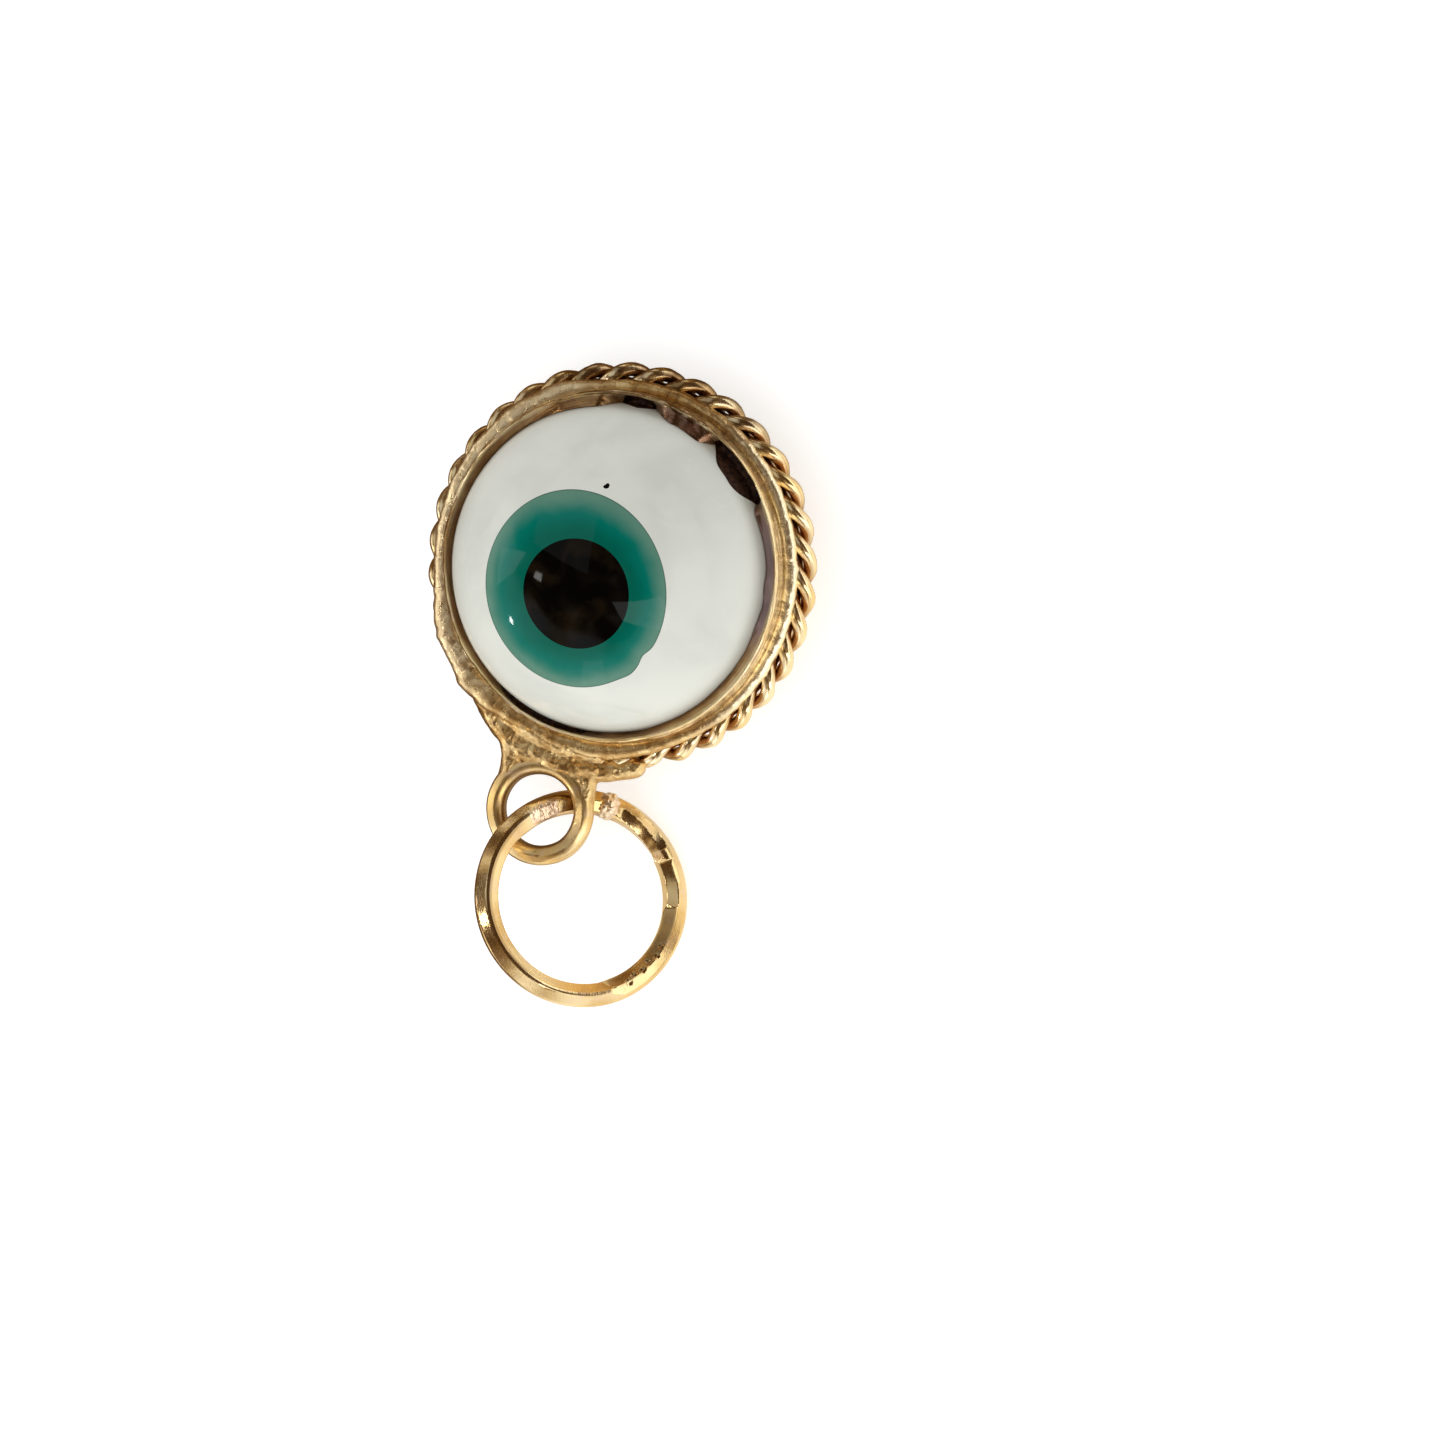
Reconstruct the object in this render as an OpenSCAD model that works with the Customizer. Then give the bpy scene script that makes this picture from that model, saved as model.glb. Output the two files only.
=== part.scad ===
// Evil eye charm: a domed glass eye in a rope-edged bezel, a soldered loop and a jump ring.
// It lies on its flat back. The origin is the centre of the back, +Z is the eye's axis and
// the loop stands out towards -Y.

/* [Glass eye] */
// Diameter of the white glass at its girdle
eye_d = 9.64; // [8:0.02:12]
// Height of the straight girdle below the dome
girdle_h = 2.15; // [1.6:0.01:2.4]
// How much larger the dome's radius is than the girdle's
dome_swell = 0.08; // [0.02:0.01:0.2]
// Diameter of the coloured iris inlay
iris_d = 5.6; // [4.6:0.02:6.8]
// Depth of the iris inlay below its own edge
iris_depth = 0.5; // [0.3:0.05:0.8]
// Lean of the iris from the eye's axis, in degrees
iris_lean = 6; // [0:1:12]
// Direction of that lean round the eye
iris_heading = -80; // [-180:1:180]
// Diameter of the black pupil inlay
pupil_d = 3.16; // [2.4:0.02:3.8]
// Depth of the pupil inlay below its own edge
pupil_depth = 0.45; // [0.25:0.05:0.7]
// Lean of the pupil from the eye's axis, in degrees
pupil_lean = 7; // [0:0.5:12]
// Direction of that lean round the eye
pupil_heading = -55; // [-180:1:180]

/* [Setting] */
// Thickness of the back plate
plate_t = 0.45; // [0.3:0.05:1]
// Chamfer round the back plate's lower edge
plate_chamfer = 0.1; // [0.02:0.02:0.2]
// Thickness of the bezel strip
wall_t = 0.2; // [0.16:0.01:0.4]
// Height of the rim above the eye's girdle
rim_rise = 0.57; // [0.4:0.01:0.9]
// Thickness of the rim's top edge
rim_t = 0.12; // [0.08:0.01:0.14]
// How far the rim leans in from the wall
rim_lean = 0.06; // [0:0.01:0.1]
// Depth of the inner lip that is rubbed over onto the glass
lip_h = 0.35; // [0.2:0.05:0.6]
// Width of the ledge that the glass stands on
ledge_w = 0.35; // [0.2:0.05:1]
// Height of that ledge
ledge_h = 0.4; // [0.2:0.05:0.8]
// Width of the soldered seam in the bezel strip
seam_w = 0.14; // [0.08:0.02:0.3]
// Angle of that seam round the bezel
seam_angle = 81; // [20:1:160]
// Drop of the cement's top below the top of the girdle
cement_drop = 0.05; // [0:0.01:0.3]

/* [Rope edge] */
// Diameter of each of the two strands
strand_d = 0.44; // [0.3:0.01:0.6]
// Full twists of the pair in one turn of the bezel
rope_twists = 17; // [10:1:24]
// Height of the rope's centre line
rope_z = 2; // [1.6:0.05:2.2]
// Gap between the two ends of the rope, in degrees
rope_gap = 2; // [1:0.5:4]

/* [Fixed loop] */
// Diameter of the hole in the loop
loop_hole_d = 2.1; // [2:0.02:3]
// Diameter of the loop's wire
loop_wire_d = 0.6; // [0.4:0.02:0.64]
// Height of the loop's centre plane
loop_z = 2.15; // [1.9:0.05:2.3]

/* [Jump ring] */
// Diameter of the hole in the jump ring
ring_hole_d = 4.98; // [4:0.02:6.5]
// Diameter of the jump ring's wire
ring_wire_d = 0.72; // [0.5:0.02:0.76]
// Tilt of the ring about the line from the loop to its centre
ring_tilt = 35; // [33:1:60]
// Direction of the ring's centre from the loop, turned from straight out
ring_swing = 44; // [-60:1:60]
// Length of the soldered seam round the ring, in degrees
seam_arc = 20; // [8:1:24]
// Thickness of the solder that stands on the ring's wire
solder_t = 0.05; // [0.03:0.01:0.08]
// Place of the solder lump round the ring, counted from the loop
lump_angle = 42; // [41:1:80]
// Diameter of the solder lump
lump_d = 0.86; // [0.8:0.02:1]

/* [Clearances] */
// Gap between the glass and the bezel wall, filled with cement
glass_gap = 0.06; // [0.04:0.01:0.16]
// Gap between the rubbed-over lip and the dome
lip_gap = 0.01; // [0.005:0.005:0.05]
// Depth that soldered pieces run into each other
solder_bite = 0.01; // [0:0.005:0.03]
// Height of the resting jump ring above the plane of the back
rest_gap = 0.01; // [0.005:0.005:0.05]

/* [Hidden] */
$fn = 96;

gold = [0.80, 0.62, 0.30];
gold_pale = [0.88, 0.74, 0.46];
solder_gold = [0.84, 0.62, 0.42];
cement_brown = [0.28, 0.17, 0.08];
white_glass = [0.90, 0.91, 0.87];
teal_glass = [0.05, 0.48, 0.40];
black_glass = [0.03, 0.03, 0.03];

// Eye
eye_r = eye_d / 2;
dome_r = eye_r + dome_swell;
eye_z = plate_t + ledge_h;
girdle_z = eye_z + girdle_h;
dome_z = girdle_z - sqrt(dome_r * dome_r - eye_r * eye_r);

// Setting
wall_ri = eye_r + glass_gap;
wall_ro = wall_ri + wall_t;
rim_z = girdle_z + rim_rise;
rim_ro = wall_ro - rim_lean;
lip_z = rim_z - lip_h;
lip_r = sqrt(dome_r * dome_r - pow(lip_z - dome_z, 2)) + lip_gap;
lip_root_z = lip_z - (wall_ri - lip_r) * 1.5;
ledge_ri = wall_ri - ledge_w;
cement_h = girdle_h - cement_drop;

// Rope
strand_r = strand_d / 2;
rope_r = wall_ro + strand_d - solder_bite;
rope_ro = rope_r + strand_d;
rope_steps = 10 * rope_twists;
rope_sides = 8;

// Loop
loop_r = (loop_hole_d + loop_wire_d) / 2;
loop_ro = loop_r + loop_wire_d / 2;
loop_y = -(rope_ro + loop_ro - solder_bite);
// Solder between the loop and the rope: its half angle on the loop and on the rope, and its radius
fillet_angle = 46;
fillet_foot = 9;
fillet_r = 0.32;

// Jump ring, turned so that it rests on the plane of the back
ring_wire_r = ring_wire_d / 2;
ring_r = (ring_hole_d + ring_wire_d) / 2;
ring_rest = (loop_z - ring_wire_r - rest_gap) / ring_r;
tilt_sq = pow(sin(ring_tilt), 2);
ring_pitch = asin((sqrt(pow(ring_rest, 2) - tilt_sq * (pow(ring_rest, 2) - tilt_sq)) - ring_rest) / tilt_sq);

// Point on a strand's centre line at angle a round the bezel
function strand_point(a, phase) =
    let (twist = rope_twists * a + phase, r = rope_r + strand_r * cos(twist))
    [r * cos(a), r * sin(a), rope_z + strand_r * sin(twist)];

// Unit vector from the rope's centre line to the strand's
function strand_out(a, phase) =
    let (twist = rope_twists * a + phase)
    [cos(twist) * cos(a), cos(twist) * sin(a), sin(twist)];

function unit(v) = v / norm(v);

// One ring of points round a strand, square to its centre line
function strand_section(a, phase) =
    let (along = unit(strand_point(a + 0.1, phase) - strand_point(a - 0.1, phase)),
         out = strand_out(a, phase),
         side = unit(out - along * (out * along)),
         up = cross(along, side))
    [for (k = [0 : rope_sides - 1])
        let (turn = 360 * k / rope_sides)
        strand_point(a, phase) + strand_r * (cos(turn) * side + sin(turn) * up)];

module rope_strand(phase) {
    span = 360 - rope_gap;
    first = -90 + rope_gap / 2;
    n = rope_sides;
    sections = [for (i = [0 : rope_steps]) strand_section(first + span * i / rope_steps, phase)];
    points = [for (section = sections) for (p = section) p];
    skin = [for (i = [0 : rope_steps - 1]) for (k = [0 : n - 1])
        let (a = i * n + k, b = i * n + (k + 1) % n)
        each [[a, a + n, b], [b, a + n, b + n]]];
    caps = [[for (k = [0 : n - 1]) k], [for (k = [n - 1 : -1 : 0]) rope_steps * n + k]];
    polyhedron(points = points, faces = concat(skin, caps), convexity = 10);
}

// The whole glass eye: a straight girdle under a domed top, the dome turned as the iris is
module eye_blank() {
    intersection() {
        translate([0, 0, eye_z]) cylinder(r = eye_r, h = girdle_h + dome_r);
        union() {
            translate([0, 0, eye_z]) cylinder(r = eye_r, h = girdle_h);
            translate([0, 0, dome_z]) rotate([0, iris_lean, iris_heading]) sphere(r = dome_r);
        }
    }
}

// The space that an inlay takes out of the dome: square to the dome, flat below
module inlay_space(r, depth, lean, heading) {
    floor_h = sqrt(dome_r * dome_r - r * r) - depth;
    translate([0, 0, dome_z]) rotate([0, lean, heading])
        translate([0, 0, floor_h]) cylinder(r = r, h = dome_r);
}

module iris_space() {
    inlay_space(iris_d / 2, iris_depth, iris_lean, iris_heading);
}

module pupil_space() {
    inlay_space(pupil_d / 2, pupil_depth, pupil_lean, pupil_heading);
}

module bezel_ring() {
    rotate_extrude() {
        polygon([[wall_ri, plate_t], [wall_ro, plate_t], [wall_ro, rope_z + strand_d],
                 [rim_ro, rim_z], [rim_ro - rim_t, rim_z], [lip_r, lip_z], [wall_ri, lip_root_z]]);
    }
}

// The slot that the bezel strip's two ends leave at their seam
module seam_slot() {
    rotate([0, 0, seam_angle]) translate([0, -seam_w / 2, 0]) cube([wall_ro * 2, seam_w, rim_z * 2]);
}

// Turns a ring that lies flat, with its centre on +X, to where it hangs in the loop
module at_ring() {
    translate([0, loop_y, loop_z])
        rotate([0, 0, ring_swing - 90]) rotate([0, -ring_pitch, 0]) rotate([-ring_tilt, 0, 0])
            translate([ring_r, 0, 0]) rotate([0, 0, 180]) children();
}

module back_plate() {
    color(gold) rotate_extrude() {
        polygon([[0, 0], [wall_ro - plate_chamfer, 0], [wall_ro, plate_chamfer],
                 [wall_ro, plate_t], [0, plate_t]]);
    }
}

module bezel_wall() {
    color(gold) difference() {
        bezel_ring();
        seam_slot();
    }
}

module bezel_seam() {
    color(solder_gold) intersection() {
        bezel_ring();
        seam_slot();
    }
}

module bearing_ledge() {
    color(gold_pale) rotate_extrude() {
        translate([ledge_ri, plate_t]) square([ledge_w, ledge_h]);
    }
}

module setting_cement() {
    color(cement_brown) {
        translate([0, 0, plate_t]) cylinder(r = ledge_ri, h = ledge_h);
        rotate_extrude() {
            translate([eye_r, eye_z]) square([glass_gap, cement_h]);
        }
    }
}

module eye_white() {
    color(white_glass) difference() {
        eye_blank();
        iris_space();
    }
}

module iris_glass() {
    color(teal_glass) difference() {
        intersection() {
            eye_blank();
            iris_space();
        }
        pupil_space();
    }
}

module pupil_glass() {
    color(black_glass) intersection() {
        eye_blank();
        pupil_space();
    }
}

module rope_strand_a() {
    color(gold_pale) rope_strand(0);
}

module rope_strand_b() {
    color(gold_pale) rope_strand(180);
}

module fixed_loop() {
    color(gold) translate([0, loop_y, loop_z]) rotate_extrude() {
        translate([loop_r, 0]) circle(d = loop_wire_d);
    }
}

// The web of solder that fills the corner between the loop and the rope on one side
module solder_web(side) {
    hull() {
        rotate([0, 0, -90 + side * fillet_foot]) translate([rope_ro - fillet_r / 2, 0, rope_z])
            sphere(r = fillet_r, $fn = 24);
        translate([side * loop_r * sin(fillet_angle), loop_y + loop_r * cos(fillet_angle), loop_z])
            sphere(r = fillet_r, $fn = 24);
        translate([0, -rope_ro, loop_z]) sphere(r = fillet_r, $fn = 24);
    }
}

module loop_solder() {
    color(solder_gold) {
        solder_web(-1);
        solder_web(1);
    }
}

module jump_ring() {
    color(gold) at_ring() rotate_extrude() {
        translate([ring_r, 0]) circle(r = ring_wire_r);
    }
}

// The rough seam inside the loop, and the lump beside it
module ring_solder() {
    color(solder_gold) at_ring() {
        rotate([0, 0, -seam_arc / 2]) rotate_extrude(angle = seam_arc) {
            translate([ring_r, 0]) difference() {
                circle(r = ring_wire_r + solder_t);
                circle(r = ring_wire_r);
            }
        }
        rotate([0, 0, -lump_angle]) translate([ring_r, 0, 0]) difference() {
            sphere(d = lump_d);
            translate([-ring_r, 0, 0]) rotate_extrude() translate([ring_r, 0]) circle(r = ring_wire_r);
        }
    }
}

back_plate();
bezel_wall();
bezel_seam();
bearing_ledge();
setting_cement();
eye_white();
iris_glass();
pupil_glass();
rope_strand_a();
rope_strand_b();
fixed_loop();
loop_solder();
jump_ring();
ring_solder();
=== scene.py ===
"""Evil eye charm: a domed glass eye in a burnished, rope-edged gold bezel, hung from a jump ring."""

import logging
import math
from dataclasses import dataclass, field
from enum import Enum
from typing import Callable, Iterable, Sequence

import bmesh
import bpy
from mathutils import Matrix, Vector, noise


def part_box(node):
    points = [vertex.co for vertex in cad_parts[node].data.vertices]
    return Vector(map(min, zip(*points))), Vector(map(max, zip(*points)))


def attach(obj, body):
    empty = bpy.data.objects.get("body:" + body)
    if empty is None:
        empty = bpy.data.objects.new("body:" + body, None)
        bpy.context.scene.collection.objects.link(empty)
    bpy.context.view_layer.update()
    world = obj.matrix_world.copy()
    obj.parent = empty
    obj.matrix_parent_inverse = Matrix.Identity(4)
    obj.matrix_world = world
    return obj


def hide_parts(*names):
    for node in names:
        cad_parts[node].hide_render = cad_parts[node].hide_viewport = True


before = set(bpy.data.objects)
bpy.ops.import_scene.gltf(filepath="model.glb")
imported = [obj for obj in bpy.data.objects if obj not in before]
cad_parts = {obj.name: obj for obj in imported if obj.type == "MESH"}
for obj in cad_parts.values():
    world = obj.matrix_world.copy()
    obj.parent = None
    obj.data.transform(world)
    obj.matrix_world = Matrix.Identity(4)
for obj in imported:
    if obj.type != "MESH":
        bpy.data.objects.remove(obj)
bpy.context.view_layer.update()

LOG = logging.getLogger("charm")
MM = 0.001
TURN = 2 * math.pi
UP = Vector((0, 0, 1))
CREEP = 1e-8
Colour = tuple[float, float, float]
Place = Callable[[int, float], Vector]


class Body(Enum):
    """The two bodies that the joint turns against each other."""

    CHARM = "charm"
    RING = "jump_ring"


class Slot(Enum):
    """The record's material slots."""

    GOLD_SATIN = "gold_satin"
    GOLD_BURNISHED = "gold_burnished"
    GOLD_ROPE = "gold_rope"
    GOLD_RING = "gold_ring"
    SOLDER = "solder"
    SOLDER_ROSE = "solder_rose"
    CEMENT = "cement"
    WHITE_GLASS = "white_glass"
    TEAL_GLASS = "teal_glass"
    BLACK_GLASS = "black_glass"


# ---------------------------------------------------------------- small sums


def smooth(low: float, high: float, x: float) -> float:
    """A soft step from 0 at low to 1 at high."""
    t = min(1.0, max(0.0, (x - low) / (high - low)))
    return t * t * (3 - 2 * t)


def blend(a: float, b: float, t: float) -> float:
    """The value a share t of the way from a to b."""
    return a + (b - a) * t


def apart(a: float, b: float) -> float:
    """The angle from b to a in degrees, between -180 and 180."""
    return (a - b + 180) % 360 - 180


def round_axis(p: Vector) -> float:
    """A point's angle round the eye's axis in degrees."""
    return math.degrees(math.atan2(p.y, p.x))


def from_axis(p: Vector) -> float:
    """A point's distance from the eye's axis in millimetres, for a point in metres."""
    return math.hypot(p.x, p.y) / MM


def ring_point(r: float, turn: float, z: float) -> Vector:
    """The place in metres, from a radius, an angle and a height in millimetres."""
    return Vector((r * math.cos(turn), r * math.sin(turn), z)) * MM


def window(angle: float, start: float, end: float, soft: float) -> float:
    """1 between two angles in degrees and 0 outside them, with soft ends.

    Args:
        angle: the angle looked at.
        start: where the stretch begins.
        end: where it ends, counted on from start.
        soft: how many degrees each end takes to fade.

    Returns:
        The weight at that angle.
    """
    middle = (start + end) / 2
    half = (end - start) / 2
    return 1 - smooth(half - soft, half + soft, abs(apart(angle, middle)))


def round_noise(angle: float, count: float, seed: float, level: float = 0.0) -> float:
    """Smooth noise that closes on itself round a circle, about -1 to 1.

    Args:
        angle: the place round the circle in degrees.
        count: roughly how many waves go round.
        seed: picks the pattern.
        level: a second place, across the circle.

    Returns:
        The noise.
    """
    a = math.radians(angle)
    reach = count / TURN * 2
    return noise.noise(Vector((reach * math.cos(a) + seed, reach * math.sin(a) - seed, level + seed * 3)))


# ---------------------------------------------------------------- meshes


class Work:
    """One piece on the bench: a bmesh that becomes a finished object."""

    def __init__(self, name: str) -> None:
        """Starts an empty piece."""
        self.name = name
        self.bm = bmesh.new()

    def turned(self, sides: int, steps: int, place: Place) -> "Work":
        """Wraps a sheet round a turn and round its own section, and sets each of its points.

        Args:
            sides: points in the section.
            steps: sections round the turn.
            place: gives a point from its number in the section and its angle round the turn.

        Returns:
            The work itself.
        """
        bmesh.ops.create_grid(self.bm, x_segments=steps, y_segments=sides, size=1.0)
        for vert in self.bm.verts:
            column = round((vert.co.x + 1) / 2 * steps) % steps
            row = round((vert.co.y + 1) / 2 * sides) % sides
            vert.co = place(row, TURN * column / steps)
        return self

    def tidy(self, merge: float = CREEP) -> "Work":
        """Merges doubles, drops loose edges and turns every face outwards."""
        bmesh.ops.remove_doubles(self.bm, verts=self.bm.verts, dist=merge)
        bmesh.ops.dissolve_degenerate(self.bm, edges=self.bm.edges, dist=merge)
        loose = [e for e in self.bm.edges if not e.link_faces]
        bmesh.ops.delete(self.bm, geom=loose, context="EDGES")
        stray = [v for v in self.bm.verts if not v.link_faces]
        bmesh.ops.delete(self.bm, geom=stray, context="VERTS")
        bmesh.ops.recalc_face_normals(self.bm, faces=self.bm.faces)
        return self

    def each(self, move: Callable[[Vector], Vector]) -> "Work":
        """Moves every point by a rule."""
        for vert in self.bm.verts:
            vert.co = move(vert.co)
        return self

    def finished(
        self, body: Body, slot: Slot, finish: bpy.types.Material,
        replaces: Iterable[str] = (), crease: float = 40.0,
    ) -> bpy.types.Object:
        """Makes the object, dresses it and lets it ride on its body.

        Args:
            body: the body that it rides on.
            slot: the record's material slot; not used.
            finish: its material.
            replaces: the CAD nodes that it stands for.
            crease: edges sharper than this many degrees stay sharp.

        Returns:
            The object.
        """
        limit = math.radians(crease)
        for face in self.bm.faces:
            face.smooth = True
        for edge in self.bm.edges:
            edge.smooth = edge.calc_face_angle(0.0) < limit
        mesh = bpy.data.meshes.new(self.name)
        self.bm.to_mesh(mesh)
        self.bm.free()
        mesh.materials.append(finish)
        piece = bpy.data.objects.new(self.name, mesh)
        bpy.context.scene.collection.objects.link(piece)
        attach(piece, body.value)
        nodes = list(replaces)
        if nodes:
            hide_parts(*nodes)
        LOG.info("%s: %d points", self.name, len(mesh.vertices))
        return piece


# ---------------------------------------------------------------- shader sums


class Value:
    """A shader socket that takes part in Python sums; each sum adds a Math node."""

    def __init__(self, shader: "Shader", socket: bpy.types.NodeSocket) -> None:
        """Wraps one output socket."""
        self.shader = shader
        self.socket = socket

    def _math(self, operation: str, *terms: object, clamp: bool = False) -> "Value":
        """Adds one Math node on these terms."""
        values = dict(enumerate(terms))
        made = self.shader.node("ShaderNodeMath", {"operation": operation, "use_clamp": clamp}, values)
        return Value(self.shader, made.outputs[0])

    def __add__(self, other: object) -> "Value":
        """self + other."""
        return self._math("ADD", self, other)

    def __sub__(self, other: object) -> "Value":
        """self - other."""
        return self._math("SUBTRACT", self, other)

    def __rsub__(self, other: object) -> "Value":
        """other - self."""
        return self._math("SUBTRACT", other, self)

    def __mul__(self, other: object) -> "Value":
        """self * other."""
        return self._math("MULTIPLY", self, other)

    __radd__ = __add__
    __rmul__ = __mul__

    def clamped(self) -> "Value":
        """Held between 0 and 1."""
        return self._math("ADD", self, 0.0, clamp=True)

    def step(self, low: float, high: float) -> "Value":
        """A soft step from 0 at low to 1 at high."""
        settings = {"interpolation_type": "SMOOTHSTEP"}
        values = {"Value": self, "From Min": low, "From Max": high}
        return Value(self.shader, self.shader.node("ShaderNodeMapRange", settings, values).outputs[0])


class Shader:
    """A material that is put together from its nodes."""

    def __init__(self, name: str) -> None:
        """Makes the material with its Principled shader."""
        self.material = bpy.data.materials.new(name)
        self.material.use_nodes = True
        self.tree = self.material.node_tree
        self.tree.nodes.clear()
        self.surface = self.node("ShaderNodeBsdfPrincipled")
        self.node("ShaderNodeOutputMaterial", {}, {0: self.surface.outputs[0]})

    @staticmethod
    def within(tree: bpy.types.NodeTree) -> "Shader":
        """The same helpers on another node tree."""
        made = Shader.__new__(Shader)
        made.tree = tree
        return made

    def node(self, kind: str, settings: dict | None = None, values: dict | None = None) -> bpy.types.Node:
        """Adds a node.

        Args:
            kind: the node's type.
            settings: its own settings, set first; "stops" fills a colour ramp.
            values: numbers, colours or links for its input sockets, by name or number.

        Returns:
            The node.
        """
        made = self.tree.nodes.new(kind)
        for key, value in (settings or {}).items():
            if key == "stops":
                self._stops(made.color_ramp, value)
            else:
                setattr(made, key, value)
        for key, value in (values or {}).items():
            self.feed(made.inputs[key], value)
        return made

    @staticmethod
    def _stops(ramp: bpy.types.ColorRamp, stops: Sequence[tuple[float, Colour]]) -> None:
        """Fills a colour ramp with (place, colour) stops."""
        while len(ramp.elements) < len(stops):
            ramp.elements.new(1.0)
        for element, (place, colour) in zip(ramp.elements, stops):
            element.position = place
            element.color = (*colour, 1.0)

    def feed(self, socket: bpy.types.NodeSocket, value: object) -> None:
        """Links a socket or sets its number or colour."""
        if isinstance(value, Value):
            self.tree.links.new(value.socket, socket)
        elif isinstance(value, bpy.types.NodeSocket):
            self.tree.links.new(value, socket)
        elif isinstance(value, tuple) and socket.type == "RGBA":
            socket.default_value = (*value, 1.0)
        else:
            socket.default_value = value

    def own_mm(self) -> bpy.types.NodeSocket:
        """The piece's own coordinates in millimetres."""
        source = self.node("ShaderNodeTexCoord").outputs["Object"]
        values = {"Vector": source, "Scale": (MM, MM, MM)}
        return self.node("ShaderNodeMapping", {"vector_type": "TEXTURE"}, values).outputs[0]

    def vectors(self, operation: str, a: object, b: object) -> bpy.types.Node:
        """A Vector Math node on two vectors."""
        return self.node("ShaderNodeVectorMath", {"operation": operation}, {0: a, 1: b})

    def noise(
        self, where: bpy.types.NodeSocket, scale: float, detail: float = 3.0,
        stretch: tuple[float, float, float] | None = None, warp: float = 0.0,
    ) -> Value:
        """Fractal noise from 0 to 1.

        Args:
            where: the coordinates that it is read at.
            scale: how many waves go to one unit of them.
            detail: how many finer layers it has.
            stretch: factors on the three coordinates, for a grain.
            warp: how far it is pulled about.

        Returns:
            The noise.
        """
        if stretch:
            where = self.vectors("MULTIPLY", where, stretch).outputs[0]
        values = {"Vector": where, "Scale": scale, "Detail": detail, "Distortion": warp}
        return Value(self, self.node("ShaderNodeTexNoise", {}, values).outputs[0])

    def mix(self, factor: object, a: object, b: object) -> bpy.types.NodeSocket:
        """A colour between two colours."""
        return self.node("ShaderNodeMix", {"data_type": "RGBA"}, {0: factor, 6: a, 7: b}).outputs[2]

    def attribute(self, name: str) -> Value:
        """One of the mesh's own numbers."""
        made = self.node("ShaderNodeAttribute", {"attribute_name": name})
        return Value(self, made.outputs["Fac"])

    def glow(
        self, colour: object, strength: object, kind: str = "ShaderNodeEmission",
    ) -> bpy.types.NodeSocket:
        """A shader that only gives out light."""
        return self.node(kind, {}, {"Color": colour, "Strength": strength}).outputs[0]

    def swap(
        self, ray: str, other: bpy.types.NodeSocket, seen: bpy.types.NodeSocket,
    ) -> bpy.types.NodeSocket:
        """Two shaders for different rays of light, on the stage only.

        Args:
            ray: the Light Path output that chooses.
            other: the shader for every other ray.
            seen: the shader for that kind of ray.

        Returns:
            The two as one shader.
        """
        path = self.node("ShaderNodeLightPath").outputs[ray]
        return self.node("ShaderNodeMixShader", {}, {0: path, 1: other, 2: seen}).outputs[0]

    def bump(self, height: Value, depth: float) -> None:
        """Dents the surface by a height of depth millimetres."""
        made = self.node("ShaderNodeBump", {}, {"Height": height, "Distance": depth * MM, "Strength": 1.0})
        self.feed(self.surface.inputs["Normal"], made.outputs[0])

    def put(self, name: str, value: object) -> None:
        """Feeds one of the surface's own sockets."""
        self.feed(self.surface.inputs[name], value)


# ---------------------------------------------------------------- finishes


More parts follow.
